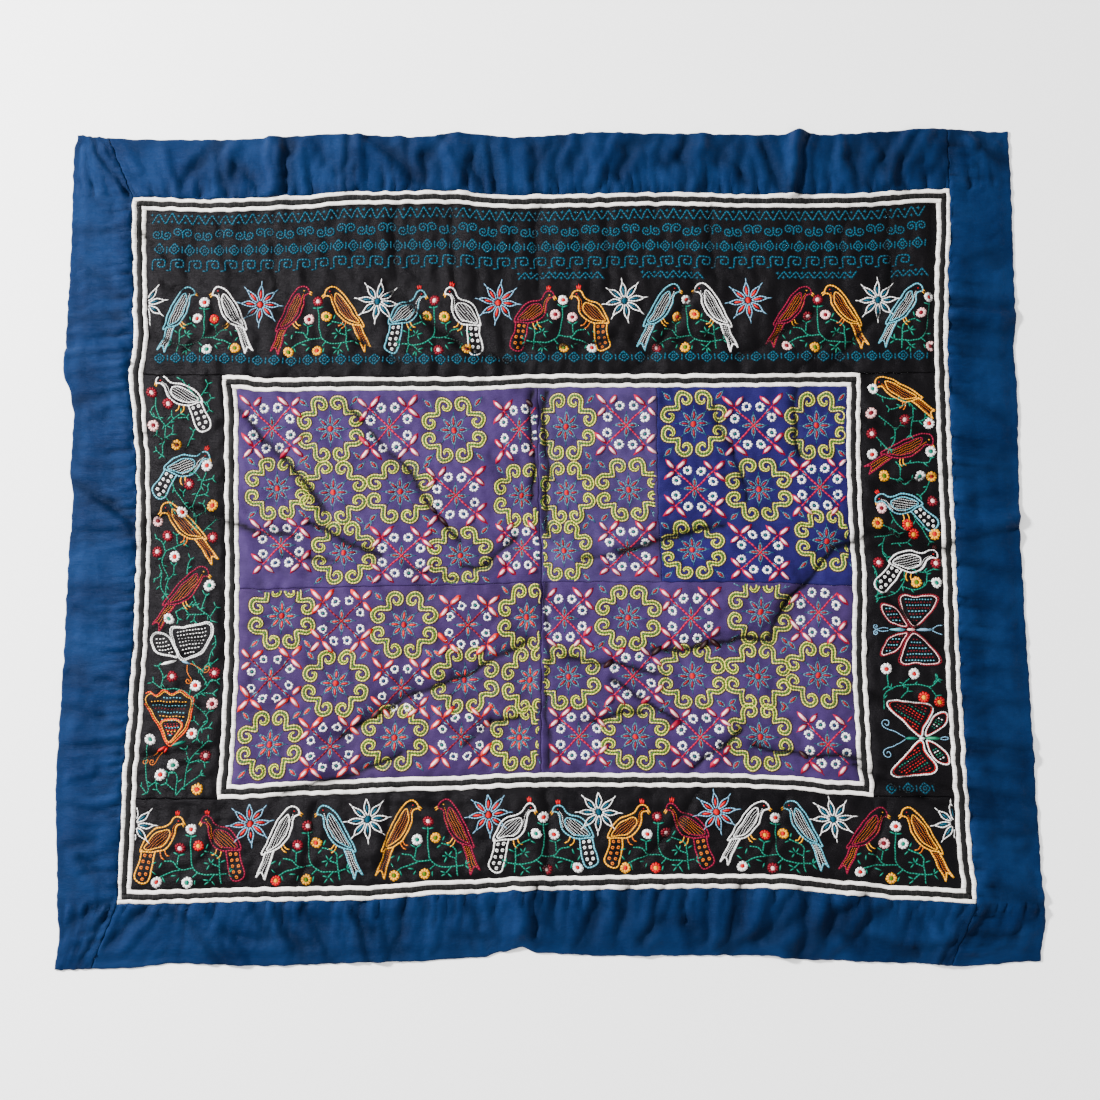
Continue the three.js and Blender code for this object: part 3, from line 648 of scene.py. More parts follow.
def makeCloth(name, look):
    material, shader, start = newMaterial(name, {
        "Roughness": look["rough"], "Specular Tint": linear(*look["shine"]),
        "Specular IOR Level": look["gloss"]})
    flat = start.node("ShaderNodeTexCoord", {}, {}, output=2)
    mottle = noise(start, flat, look["mottle"], 4.0)
    slub = noise(start, flat, look["slub"], 3.0, look["slubStretch"])
    broad = ramp(start, mottle, [(0.32, 0.0), (0.7, 1.0)])
    ground = mixColours(start, broad, linear(*look["dark"]), linear(*look["light"]))
    streaky = ramp(start, slub, [(0.5, 0.0), (0.78, 0.32)])
    dyed = mixColours(start, streaky, ground, linear(*look["streak"]))
    feed(shader, "Base Color", shadeCreases(start, dyed))
    warp, weft = [
        start.node("ShaderNodeTexWave", {"bands_direction": direction},
                   {"Vector": flat, "Scale": look["weave"], "Distortion": look["waver"]})
        for direction in "XY"]
    wrinkle = noise(start, flat, look["wrinkle"], 4.0)
    height = wrinkle * 1.6 + slub * 0.3 + (warp + weft) * 0.1
    raiseSurface(start, shader, look["bump"], look["raise"], height)
    return material


# Each strip's second tone is painted shading at notches and folds, and the soiling: darker on the white
# strip, lighter on the black one.
stripFinishes = {
    "whiteStrip": {"tone": (248, 243, 238), "paintedShadingAndSoil": (142, 130, 124), "rough": 0.8, "stitchPitch": 0.0082},
    "blackStrip": {"tone": (7, 7, 8), "paintedShadingAndSoil": (40, 37, 36), "rough": 0.75, "stitchPitch": 0.0086},
}


def makeStrip(name, look):
    # UV x runs along the strip in metres, UV y across it from 0 to 1.
    material, shader, start = newMaterial(name, {"Roughness": look["rough"], "Specular IOR Level": 0.12})
    flat = start.node("ShaderNodeTexCoord", {}, {}, output=2)
    parts = start.node("ShaderNodeSeparateXYZ", {}, {0: flat})
    across = Wire(parts.tree, parts.socket.node.outputs[1])
    # a notch at each hem stitch, unevenly spaced: the surface dips there, and its colour is painted shading,
    # painted shade on the white strip and a painted highlight on the black one
    wander = noise(start, flat, 45, 1.0, stretch=(1.0, 0.0, 1.0))
    along = parts * (1 / look["stitchPitch"]) + wander * 0.9
    saw = start.node("ShaderNodeMath", {"operation": "FRACT"}, {0: along})
    notch = ramp(start, saw, [(0.0, 1.0), (0.07, 0.5), (0.16, 0.0)])
    # the lines of the folds, painted as shading (painted shade on the white strip, a painted highlight on
    # the black one), then the soiling
    foldLine = start.node("ShaderNodeMath", {"operation": "PINGPONG"}, {0: across, 1: 0.33})
    crease = ramp(start, foldLine * 3.0, [(0.0, 1.0), (0.12, 0.3), (0.25, 0.0)])
    faded = ramp(start, noise(start, flat, 120, 3.0), [(0.35, 0.0), (0.75, 0.5)])
    # the painted shading of notches and folds, and the soiling, pull the colour towards the second tone
    marks = start.maths("MAXIMUM", notch * 0.75, crease * 0.5)
    shade = start.maths("MAXIMUM", marks, faded * 0.45)
    dyed = mixColours(start, shade, linear(*look["tone"]), linear(*look["paintedShadingAndSoil"]))
    feed(shader, "Base Color", shadeCreases(start, dyed))
    raiseSurface(start, shader, 0.6, 0.0012, 1.0 - notch * 0.8 - crease * 0.35)
    return material


threadFinish = {"rough": 0.5, "gloss": 0.16, "fibre": 1400}


def makeThread(name, look):
    # Thread takes its colour from the stitches' own attribute, a little lighter or darker each.
    finish = {"Roughness": look["rough"], "Specular IOR Level": look["gloss"]}
    material, shader, start = newMaterial(name, finish)
    dye = start.node("ShaderNodeAttribute", {"attribute_name": "threadColour"}, {})
    shade = start.node("ShaderNodeAttribute", {"attribute_name": "threadShade"}, {}, output=2)
    place = start.node("ShaderNodeTexCoord", {}, {}, output=3)
    fibre = noise(start, place, look["fibre"], 3.0)
    level = shade * 0.75 + fibre * 0.5
    feed(shader, "Base Color", shadeCreases(start, mixColours(start, level, black, dye)))
    raiseSurface(start, shader, 0.35, 0.0006, fibre)
    return material


materials = {name: makeCloth(name, {**plainCloth, **look}) for name, look in clothFinishes.items()}
materials.update({name: makeStrip(name, look) for name, look in stripFinishes.items()})
materials["thread"] = makeThread("thread", threadFinish)
print("stage: materials made")


# The cloth sheets.
def gridLines(lines, first, last, step):
    # Grid places between two seams, closer at both ends, where the cloth turns under.
    half = sheetMake["gap"] / 2
    start, end = lines[first] + half, lines[last] - half
    outer, inner = sheetMake["roundedEdge"]
    low, high = start + inner, end - inner
    count = max(1, int(round((high - low) / step)))
    return np.concatenate([[start, start + outer], np.linspace(low, high, count + 1), [end - outer, end]])


def stripLines(lines, first, last):
    # Four places across a strip: its edges, and where its rounded folds begin.
    half = sheetMake["gap"] / 2
    width = lines[last] - lines[first] - 2 * half
    return lines[first] + half + np.array(sheetMake["stripProfile"]) * width


sheets = {}


def sheetMesh(name, us, vs, thick, alongV, edgeRings):
    # A closed sheet over the grid, thinner where its edges turn under.
    # UVs are flat metres or, on a strip, metres along it and the share across it.
    across, deep = len(us), len(vs)
    gridU, gridV = np.meshgrid(us, vs)
    flat = np.stack([gridU.ravel(), gridV.ravel()], axis=1)
    under, normals = lay(flat)
    full = np.ones((deep, across))
    drop = sheetMake["edgeDrop"]
    full[0, :] = full[-1, :] = full[:, 0] = full[:, -1] = 1 - drop
    if edgeRings:
        inner = full[1:-1, 1:-1]
        inner[0, :] = inner[-1, :] = inner[:, 0] = inner[:, -1] = 1 - drop * sheetMake["secondDrop"]
    top = under + normals * (thick * metre) * full.ravel()[:, None]
    vertices = np.concatenate([under, top])
    number = np.arange(across * deep).reshape(deep, across)
    nearLeft, nearRight = number[:-1, :-1].ravel(), number[:-1, 1:].ravel()
    farRight, farLeft = number[1:, 1:].ravel(), number[1:, :-1].ravel()
    layer = across * deep
    faces = [np.stack([nearLeft, nearRight, farRight, farLeft], 1) + layer,
             np.stack([nearLeft, farLeft, farRight, nearRight], 1)]
    for line in (number[0, :], number[-1, ::-1], number[::-1, 0], number[:, -1]):
        start, end = line[:-1], line[1:]
        faces.append(np.stack([start, end, end + layer, start + layer], 1))
    quads = np.concatenate(faces)
    mesh = bpy.data.meshes.new(name)
    mesh.vertices.add(len(vertices))
    mesh.vertices.foreach_set("co", vertices.ravel())
    mesh.loops.add(quads.size)
    mesh.loops.foreach_set("vertex_index", quads.ravel())
    mesh.polygons.add(len(quads))
    mesh.polygons.foreach_set("loop_start", np.arange(0, quads.size, 4))
    mesh.polygons.foreach_set("loop_total", np.full(len(quads), 4))
    mesh.polygons.foreach_set("use_smooth", np.ones(len(quads), bool))
    mesh.update(calc_edges=True)
    places = flat * metre
    if alongV is not None:
        length, width = (gridV.ravel(), gridU.ravel()) if alongV else (gridU.ravel(), gridV.ravel())
        places = np.stack([length * metre, (width - width.min()) / np.ptp(width)], axis=1)
    shade = creaseShade(flat[:, 0], flat[:, 1])
    creased = mesh.attributes.new("creaseShade", "FLOAT", "POINT")
    creased.data.foreach_set("value", np.concatenate([shade, shade]))
    layerPlaces = np.concatenate([places, places])[quads.ravel()]
    mesh.uv_layers.new(name="UVMap").data.foreach_set("uv", layerPlaces.ravel())
    mesh.validate()
    sheets[name] = {"us": us, "vs": vs, "top": top.reshape(deep, across, 3),
                    "normals": normals.reshape(deep, across, 3)}
    return mesh


def addSheet(node, columnRange, rowRange, kind, material):
    step = sheetMake["step"][kind]
    us = gridLines(columns, *columnRange, step)
    vs = gridLines(rows, *rowRange, step)
    flat = [columns[columnRange[1]] - columns[columnRange[0]], rows[rowRange[1]] - rows[rowRange[0]]]
    alongV = None
    if kind == "strip":
        alongV = flat[1] > flat[0]
        if alongV:
            us = stripLines(columns, *columnRange)
        else:
            vs = stripLines(rows, *rowRange)
        flat[flat.index(min(flat))] += 2 * sheetMake["stripTurnedUnder"]
    mesh = sheetMesh(node, us, vs, sheetMake["thick"][kind], alongV, kind != "strip")
    mesh.materials.append(materials[material])
    piece = bpy.data.objects.new(node + "_cloth", mesh)
    bpy.context.collection.objects.link(piece)
    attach(piece, "root")
    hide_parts(node)
    flat[0] * metre
    flat[1] * metre


def addBorder():
    sides = {"left": ((rimLeft, outerLeft), (rimNear, rimFar)),
             "right": ((outerRight, rimRight), (rimNear, rimFar)),
             "top": ((outerLeft, outerRight), (outerFar, rimFar)),
             "bottom": ((outerLeft, outerRight), (rimNear, outerNear))}
    for side, (columnRange, rowRange) in sides.items():
        addSheet("border_" + side, columnRange, rowRange, "border", "blueSateen")


def addFrame(name, left, right, near, far):
    # Three nested rings of strips: the level ones run full width, the upright ones lie between them.
    rings = [("outer_white", "whiteStrip", "white_strip"), ("black", "blackStrip", "black_strip"),
             ("inner_white", "whiteStrip", "white_strip")]
    for ring, material, slot in rings:
        sides = {"top": ((left, right), (far - 1, far)), "bottom": ((left, right), (near, near + 1)),
                 "left": ((left, left + 1), (near + 1, far - 1)),
                 "right": ((right - 1, right), (near + 1, far - 1))}
        for side, (columnRange, rowRange) in sides.items():
            addSheet(f"{name}_{ring}_{side}", columnRange, rowRange, "strip", material)
        left, right, near, far = left + 1, right - 1, near + 1, far - 1


def addBands():
    left, right = outerLeft + stripCount, outerRight - stripCount
    near, far = outerNear + stripCount, outerFar - stripCount
    sides = {"top": ((left, right), (innerFar, far)), "bottom": ((left, right), (near, innerNear)),
             "left": ((left, innerLeft), (innerNear, innerFar)),
             "right": ((innerRight, right), (innerNear, innerFar))}
    for side, (columnRange, rowRange) in sides.items():
        addSheet("band_" + side, columnRange, rowRange, "band", "blackCloth")


def addCentre():
    left, right = innerLeft + stripCount, innerRight - stripCount
    near, far = innerNear + stripCount, innerFar - stripCount
    panels = [
        ("upper_left", (left, seamLeft), (seamLevel, far), "purpleCloth", "purple_cloth"),
        ("upper_middle", (seamLeft, seamRight), (seamLevel, far), "greyPurpleCloth", "grey_purple_cloth"),
        ("upper_right", (seamRight, right), (seamLevel, far), "royalCloth", "royal_cloth"),
        ("lower_left", (left, seamLeft), (near, seamLevel), "violetCloth", "violet_cloth"),
        ("lower_right", (seamLeft, right), (near, seamLevel), "purpleCloth", "purple_cloth"),
    ]
    for name, columnRange, rowRange, material, slot in panels:
        addSheet("panel_" + name, columnRange, rowRange, "panel", material)


addBorder()
addFrame("frame_outer", outerLeft, outerRight, outerNear, outerFar)
addBands()
addFrame("frame_inner", innerLeft, innerRight, innerNear, innerFar)
addCentre()
print("stage: cloth laid out")


# The thread, and the size of one stitch.
threads = {
    "cream": (208, 198, 80), "leafGreen": (66, 100, 12), "teal": (2, 60, 78), "sprig": (3, 104, 84),
    "mint": (30, 130, 92), "lightBlue": (84, 160, 178), "white": (240, 238, 236), "red": (182, 2, 14),
    "crimson": (104, 2, 22), "yellow": (232, 156, 6), "gold": (196, 98, 4), "pink": (158, 4, 48),
    "palePink": (246, 190, 188), "coral": (204, 36, 28), "garnet": (118, 2, 42),
    # The dark brown below is painted shade: thread for the shadow around the scrolls' raised lines.
    "paleBlue": (112, 158, 186), "greyTeal": (66, 112, 122), "paintedShadeBrown": (46, 26, 12), "orange": (206, 62, 4),
    "brick": (128, 20, 26),
}
stitchMake = {
    "relief": 0.62, "overlap": 1.2, "sides": 6, "variation": 0.12, "seed": 11, "edgeMargin": 2.0,
    "shades": (0.82, 1.12),
}


def turnPoints(points, degrees):
    angle = math.radians(degrees)
    points = np.asarray(points, float)
    return np.stack([points[:, 0] * math.cos(angle) - points[:, 1] * math.sin(angle),
                     points[:, 0] * math.sin(angle) + points[:, 1] * math.cos(angle)], axis=1)


def ringPoints(degrees, radius):
    angles = np.radians(degrees)
    return np.stack([radius * np.cos(angles), radius * np.sin(angles)], axis=1)


def arc(centre, radius, start, end, count=16):
    return ringPoints(np.linspace(start, end, count), radius) + centre


def smoothPath(points, closed=False, detail=6):
    # A soft curve through the points.
    points = np.asarray(points, float)
    if closed:
        ring = np.concatenate([points[-1:], points, points[:2]])
    else:
        ring = np.concatenate([2 * points[:1] - points[1:2], points, 2 * points[-1:] - points[-2:-1]])
    t = np.linspace(0, 1, detail, endpoint=False)[:, None]
    parts = []
    for before, start, end, after in zip(ring[:-3], ring[1:-2], ring[2:-1], ring[3:]):
        square = (2 * before - 5 * start + 4 * end - after) * t ** 2
        cube = (3 * start - before - 3 * end + after) * t ** 3
        parts.append(0.5 * (2 * start + (end - before) * t + square + cube))
    parts.append(ring[-2:-1])
    return np.concatenate(parts)


class StitchBook:
    # The stitches of one sheet: start and end on the flat cloth, width, colour and lift.
    def __init__(self, node, seed):
        self.node = node
        self.chance = np.random.default_rng(seed)
        self.ends = []
        self.looks = []
        self.place = lambda points: np.asarray(points, float)

    def at(self, x, y, turn=0.0, size=(1.0, 1.0)):
        # What is drawn next is scaled, turned and moved to this place.
        size = np.array(size)
        self.place = lambda points: turnPoints(np.asarray(points, float) * size, turn) + (x, y)
        return self

    def stitch(self, start, end, colour, width, lift=0.0, blunt=0):
        ends = self.place([start, end])
        self.ends.append(ends.ravel())
        self.looks.append((width, lift, *linear(*threads[colour])[:3], blunt))

    def run(self, points, colour, width, length, gap=0.0):
        # Stitches one after another along a line, with gaps for running stitch.
        line = self.place(points)
        steps = np.linalg.norm(np.diff(line, axis=0), axis=1)
        reach = np.concatenate([[0], np.cumsum(steps)])
        count = max(1, int(round(reach[-1] / length)))
        marks = np.linspace(0, reach[-1], count + 1)
        places = np.stack([np.interp(marks, reach, line[:, 0]), np.interp(marks, reach, line[:, 1])], axis=1)
        start, end = places[:-1], places[1:]
        middle, half = (start + end) / 2, (end - start) / 2
        half = half * (stitchMake["overlap"] if gap == 0 else 1 - gap)
        look = (width, 0.0, *linear(*threads[colour])[:3], 1)
        self.ends.extend(np.concatenate([middle - half, middle + half], axis=1))
        self.looks.extend([look] * count)


def onSheet(sheet, u, v):
    # The place and normal of flat points on the sheet's own mesh.
    us, vs = sheet["us"], sheet["vs"]
    column = np.clip(np.searchsorted(us, u) - 1, 0, len(us) - 2)
    row = np.clip(np.searchsorted(vs, v) - 1, 0, len(vs) - 2)
    tu = ((u - us[column]) / (us[column + 1] - us[column]))[:, None]
    tv = ((v - vs[row]) / (vs[row + 1] - vs[row]))[:, None]
    found = []
    for grid in (sheet["top"], sheet["normals"]):
        near = grid[row, column] * (1 - tu) + grid[row, column + 1] * tu
        far = grid[row + 1, column] * (1 - tu) + grid[row + 1, column + 1] * tu
        found.append(near * (1 - tv) + far * tv)
    return found


def makeStitchTree():
    # Turns points with attributes into small raised stitches.
    tree = bpy.data.node_groups.new("stitches", "GeometryNodeTree")
    face = tree.interface
    face.new_socket("Geometry", in_out="INPUT", socket_type="NodeSocketGeometry")
    for name, kind in (("Sides", "Int"), ("Variation", "Float"), ("Seed", "Int"), ("Material", "Material")):
        face.new_socket(name, in_out="INPUT", socket_type="NodeSocket" + kind)
    face.new_socket("Geometry", in_out="OUTPUT", socket_type="NodeSocketGeometry")
    start = Wire(tree, None)
    given = tree.nodes.new("NodeGroupInput").outputs
    wire = lambda name: Wire(tree, given[name])

    def named(name, kind):
        return start.node("GeometryNodeInputNamedAttribute", {"data_type": kind}, {"Name": name})

    bead = start.node("GeometryNodeMeshUVSphere", {}, {"Segments": wire("Sides"), "Rings": 2, "Radius": 0.5})
    block = start.node("GeometryNodeMeshUVSphere", {}, {"Segments": 4, "Rings": 2, "Radius": 0.5})
    turn = start.node("FunctionNodeAxesToRotation", {"primary_axis": "X", "secondary_axis": "Z"},
                      {0: named("stitchAxis", "FLOAT_VECTOR"), 1: named("clothNormal", "FLOAT_VECTOR")})
    most = 1.0 + wire("Variation")
    least = 1.0 - wire("Variation")
    chance = start.node("FunctionNodeRandomValue", {"data_type": "FLOAT"},
                        {2: least, 3: most, 8: wire("Seed")}, output=1)
    size = start.node("ShaderNodeVectorMath", {"operation": "SCALE"},
                      {0: named("stitchSize", "FLOAT_VECTOR"), 3: chance})
    blunt = start.node("GeometryNodeTransform", {}, {
        "Geometry": block, "Rotation": (0.0, 0.0, math.pi / 4), "Scale": (1.4, 1.32, 1.0)})
    shapes = start.node("GeometryNodeJoinGeometry", {}, {0: [
        start.node("GeometryNodeGeometryToInstance", {}, {0: blunt}),
        start.node("GeometryNodeGeometryToInstance", {}, {0: bead})]})  # the last joined is index 0
    placed = start.node("GeometryNodeInstanceOnPoints", {}, {
        "Points": wire("Geometry"), "Instance": shapes, "Pick Instance": True,
        "Instance Index": named("stitchShape", "INT"), "Rotation": turn, "Scale": size})
    real = start.node("GeometryNodeRealizeInstances", {}, {0: placed})
    soft = start.node("GeometryNodeSetShadeSmooth", {}, {0: real})
    done = start.node("GeometryNodeSetMaterial", {}, {"Geometry": soft, "Material": wire("Material")})
    tree.links.new(done.socket, tree.nodes.new("NodeGroupOutput").inputs[0])
    return tree


stitchTree = makeStitchTree()


def setInput(modifier, name, value):
    for item in modifier.node_group.interface.items_tree:
        if item.item_type == "SOCKET" and item.in_out == "INPUT" and item.name == name:
            modifier[item.identifier] = value


def sewOn(book):
    # Lays the book's stitches on its sheet; those beyond the sheet's edges are left out.
    sheet = sheets[book.node]
    ends = np.array(book.ends)
    looks = np.array(book.looks)
    middle = (ends[:, :2] + ends[:, 2:]) / 2
    margin = stitchMake["edgeMargin"]
    kept = np.ones(len(ends), bool)
    for axis, lines in ((0, sheet["us"]), (1, sheet["vs"])):
        low = np.minimum(ends[:, axis], ends[:, axis + 2])
        high = np.maximum(ends[:, axis], ends[:, axis + 2])
        kept &= (low > lines[0] + margin) & (high < lines[-1] - margin)
    ends, looks, middle = ends[kept], looks[kept], middle[kept]
    start = onSheet(sheet, ends[:, 0], ends[:, 1])[0]
    end = onSheet(sheet, ends[:, 2], ends[:, 3])[0]
    here, normal = onSheet(sheet, middle[:, 0], middle[:, 1])
    normal /= np.linalg.norm(normal, axis=1)[:, None]
    axis = end - start
    length = np.linalg.norm(axis, axis=1)
    here = (here + (start + end) / 2) / 2 + normal * (looks[:, 1] * metre)[:, None]
    height = looks[:, 0] * stitchMake["relief"] * metre
    size = np.stack([length, looks[:, 0] * metre, height], axis=1)
    shade = book.chance.uniform(*stitchMake["shades"], len(ends))
    mesh = bpy.data.meshes.new(book.node + "_embroidery")
    mesh.vertices.add(len(here))
    mesh.vertices.foreach_set("co", here.ravel())
    dye = np.concatenate([looks[:, 2:5], np.ones((len(looks), 1))], axis=1)
    for name, kind, key, values in (
            ("stitchAxis", "FLOAT_VECTOR", "vector", axis / length[:, None]),
            ("clothNormal", "FLOAT_VECTOR", "vector", normal),
            ("stitchSize", "FLOAT_VECTOR", "vector", size),
            ("threadShade", "FLOAT", "value", shade),
            ("creaseShade", "FLOAT", "value", creaseShade(middle[:, 0], middle[:, 1])),
            ("stitchShape", "INT", "value", looks[:, 5].astype(np.int32)),
            ("threadColour", "FLOAT_COLOR", "color", dye)):
        mesh.attributes.new(name, kind, "POINT").data.foreach_set(key, values.ravel())
    piece = bpy.data.objects.new(book.node + "_embroidery", mesh)
    bpy.context.collection.objects.link(piece)
    modifier = piece.modifiers.new("stitches", "NODES")
    modifier.node_group = stitchTree
    for name in ("sides", "variation", "seed"):
        setInput(modifier, name.capitalize(), stitchMake[name])
    setInput(modifier, "Material", materials["thread"])
    ready = piece.evaluated_get(bpy.context.evaluated_depsgraph_get())
    sewn = bpy.data.meshes.new_from_object(ready)
    piece.modifiers.remove(modifier)
    piece.data = sewn
    for name in ("stitchAxis", "clothNormal", "stitchSize", "stitchShape"):
        if name in sewn.attributes:
            sewn.attributes.remove(sewn.attributes[name])
    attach(piece, "root")
    print("sewn:", book.node, len(here), "stitches")


# The motifs, in millimetres from each one's middle. A curl's rows: angle, radius, and how far the
# thread rows stand apart. A thread row: its place, its thread and its width.
scroll = {
    "lobe": (16.4, 42.0), "stem": 27.0, "spread": 3.0, "stitch": 5.2,
    "curl": [(-20, 11.7, 2.9), (60, 11.7, 2.9), (150, 11.2, 2.9), (210, 9.6, 2.5), (270, 6.4, 1.8),
             (330, 3.1, 0.9), (385, 1.9, 0.5)],
    # The two dark brown rows beside the cream ones are painted shade, for the shadow around the raised
    # lines.
    "rows": [(-1.75, "paintedShadeBrown", 1.7), (1.75, "paintedShadeBrown", 1.5), (0, "leafGreen", 2.6), (-1, "cream", 2.2),
             (1, "cream", 2.2)],
    "leaf": (45, 48),
}
# The pointed flowers: petals, core stitch, reach and half width of a petal, spike, widths, middle dot.
starLooks = {
    "scroll": {"petals": 8, "core": (8, 22), "reach": 25, "half": 3.7, "tip": 33, "widths": (3.8, 1.5, 1.6),
               "dot": 4.9},
    "cross": {"petals": 4, "core": (5, 16), "reach": 19, "half": 3.2, "tip": 26, "widths": (3.6, 1.5, 1.6)},
    "band": {"petals": 8, "core": (10, 29), "reach": 37, "half": 4.9, "tip": 47, "widths": (4.4, 2.0, 1.9),
             "dot": 5.8},
}


def scrollCorner(offset):
    # One corner's line: a curl, down to the corner of the V and up into the mirrored curl.
    places, radii, spreads = np.array(scroll["curl"], float).T
    angles = np.linspace(places[0], places[-1], 40)
    radius = np.interp(angles, places, radii) + offset * np.interp(angles, places, spreads)
    curl = ringPoints(angles, radius) + scroll["lobe"]
    corner = scroll["stem"] + offset * scroll["spread"]
    return np.concatenate([curl[::-1], [(corner, corner)], curl[:, ::-1]])


def petalStar(book, look, colours, turn=0.0):
    # Petals round a middle: a core stitch, an outline of running stitches and a spike.
    coreColour, edgeColour, tipColour = colours
    coreWidth, edgeWidth, tipWidth = look["widths"]
    (root, end), reach, half = look["core"], look["reach"], look["half"]
    widest = root * 0.4 + reach * 0.55
    for number in range(look["petals"]):
        angle = turn + number * 360 / look["petals"]
        book.stitch(*turnPoints([(root, 0), (end, 0)], angle), coreColour, coreWidth, 0.1)
        for side in (1, -1):
            edge = [(root * 0.75, 0.8 * side), (widest * 0.6, half * 0.8 * side), (widest, half * side),
                    (reach, 0.4 * side)]
            book.run(smoothPath(turnPoints(edge, angle)), edgeColour, edgeWidth, 5.0)
        book.stitch(*turnPoints([(reach - 1, 0), (look["tip"], 0)], angle), tipColour, tipWidth, 0.1)


def dot(book, centre, radius, colour, width=2.4, lift=0.2):
    # A filled spot of parallel stitches.
    count = max(2, int(round(2 * radius / width)) + 1)
    for away in np.linspace(-radius + width / 2, radius - width / 2, count):
        half = 1.15 * math.sqrt(max(radius ** 2 - away ** 2, 0.2))
        first, last = [(centre[0] + end, centre[1] + away) for end in (-half, half)]
        book.stitch(first, last, colour, width, lift)


def corners(place):
    # The place in each of the four corners.
    return [(place[0] * sideX, place[1] * sideY) for sideX in (1, -1) for sideY in (1, -1)]


def scrollBlock(book, flower):
    for turn in (0, 90, 180, 270):
        for offset, colour, width in scroll["rows"]:
            book.run(turnPoints(scrollCorner(offset), turn), colour, width, scroll["stitch"])
    petalStar(book, starLooks["scroll"], flower)
    dot(book, (0, 0), starLooks["scroll"]["dot"], "red")
    for place in corners(scroll["leaf"]):
        diagonalLeaf(book, place, math.copysign(45, place[0] * place[1]), flower)


def diagonalLeaf(book, centre, turn, flower):
    spin = lambda points: turnPoints(points, turn) + centre
    coreColour, edgeColour, tipColour = flower
    book.stitch(*spin([(-7, 0), (7, 0)]), coreColour, 4.4, 0.1)
    for side in (1, -1):
        book.run(smoothPath(spin([(-8.5, 0), (0, 3.8 * side), (8.5, 0)])), edgeColour, 1.5, 4.5)
        book.stitch(*spin([(7 * side, 0), (13.5 * side, 0)]), tipColour, 2.0)


# The crossed blocks: arms with petals at their ends, eyelets and small stalks between them.
crossMake = {
    "arm": 48, "armWidth": 3.0, "armStitch": 7.0, "hub": 46.5, "length": 29, "width": 9.4, "lean": 5,
    "eyelets": [(11.7, 33.0), (32.0, 13.5)], "stalks": [((21, 22), (26, 30)), ((22, 20), (30, 25))],
}
eyeletMake = {"count": 10, "hole": 3.5, "rim": 8.6, "width": 3.6, "heart": 2.2, "lean": 6}


def spindle(book, start, turn, outer, inner):
    # A full petal of long stitches with a pale heart.
    length, width = crossMake["length"], crossMake["width"]
    spin = lambda points: turnPoints(points, turn) + start
    book.stitch(*spin([(0.5, 0), (length, 0)]), outer, width)
    for side in (1, -1):
        flank = spin([(length * 0.16, side * width * 0.24), (length * 0.78, side * width * 0.24)])
        book.stitch(*flank, outer, width * 0.42, 0.3)
    book.stitch(*spin([(length * 0.18, 0), (length * 0.8, 0)]), inner, width * 0.58, 1.9)


def eyelet(book, centre, ragged):
    make = eyeletMake
    for number in range(make["count"]):
        angle = math.radians(number * 360 / make["count"] + book.chance.uniform(-make["lean"], make["lean"]))
        direction = np.array([math.cos(angle), math.sin(angle)])
        near, far = make["hole"], make["rim"] * book.chance.uniform(1 - ragged, 1)
        book.stitch(centre + direction * near, centre + direction * far, "white", make["width"], 0.1, 1)
    heart = np.array([make["heart"], 0])
    book.stitch(centre - heart, centre + heart, book.chance.choice(["teal", "sprig"]), 3.0, 0.3)


def crossBlock(book, tones, flower, ragged):
    outer, inner = tones
    armColour = "pink" if outer == "pink" else "crimson"
    for turn in (45, 135, 225, 315):
        hub = turnPoints([(crossMake["hub"], 0)], turn)[0]
        arm = turnPoints([(0, 0), (crossMake["arm"], 0)], turn)
        book.run(arm, armColour, crossMake["armWidth"], crossMake["armStitch"])
        for spread in (0, 90, -90):
            lean = book.chance.uniform(-crossMake["lean"], crossMake["lean"])
            spindle(book, hub, turn + spread + lean, outer, inner)
    petalStar(book, starLooks["cross"], flower)
    book.stitch((-3, 0), (3, 0), "red", 3.4, 0.4)
    for sides in corners((1, 1)):
        for place in crossMake["eyelets"]:
            eyelet(book, np.array(place) * sides, ragged)
        for start, end in crossMake["stalks"]:
            book.stitch(np.array(start) * sides, np.array(end) * sides, "lightBlue", 1.3)


def starFlower(book, kind):
    # The big eight-pointed flower of the black bands.
    colours = {"red": ("red", "paleBlue", "paleBlue"), "blue": ("teal", "white", "white")}[kind]
    petalStar(book, starLooks["band"], colours, book.chance.uniform(-9, 9))
    dot(book, (0, 0), starLooks["band"]["dot"], colours[0])


# Round flowers: thread of the ring and of the heart.
roundFlowers = {
    "white": ("white", "red"), "crimson": ("crimson", "palePink"), "gold": ("yellow", "red"),
    "pale": ("white", "sprig"), "scarlet": ("red", "yellow"), "lemon": ("yellow", "leafGreen"),
    "rose": ("palePink", "crimson"),
}


flowerMake = {"count": 10, "turn": 10, "inner": 3.0, "outer": 9.6, "width": 4.4, "lift": 0.3, "heart": 3.8}


def roundFlower(book, centre, kind):
    ring, heart = roundFlowers[kind]
    make = flowerMake
    for number in range(make["count"]):
        angle = math.radians(number * 360 / make["count"] + make["turn"])
        direction = np.array([math.cos(angle), math.sin(angle)])
        root, tip = centre + direction * make["inner"], centre + direction * make["outer"]
        book.stitch(root, tip, ring, make["width"], make["lift"], 1)
    dot(book, centre, make["heart"], heart, 2.8, 1.0)


def stem(book, path):
    # A stem along its listed points, with a leaf at each bend and two at its end.
    line = smoothPath(path)
    book.run(line, "sprig", 2.2, 5.0)
    spots = [(number, 1 if number % 4 else -1) for number in range(4, len(line) - 3, 6)]
    for number, side in spots + [(len(line) - 2, 1), (len(line) - 2, -1)]:
        heading = line[number + 1] - line[number]
        turn = math.degrees(math.atan2(heading[1], heading[0])) + side * book.chance.uniform(34, 58)
        leaf = turnPoints([(0, 0), (book.chance.uniform(8, 13), 0)], turn) + line[number]
        book.stitch(*leaf, "sprig", 2.7)


rowMargin, rowGap = 2.5, 0.42


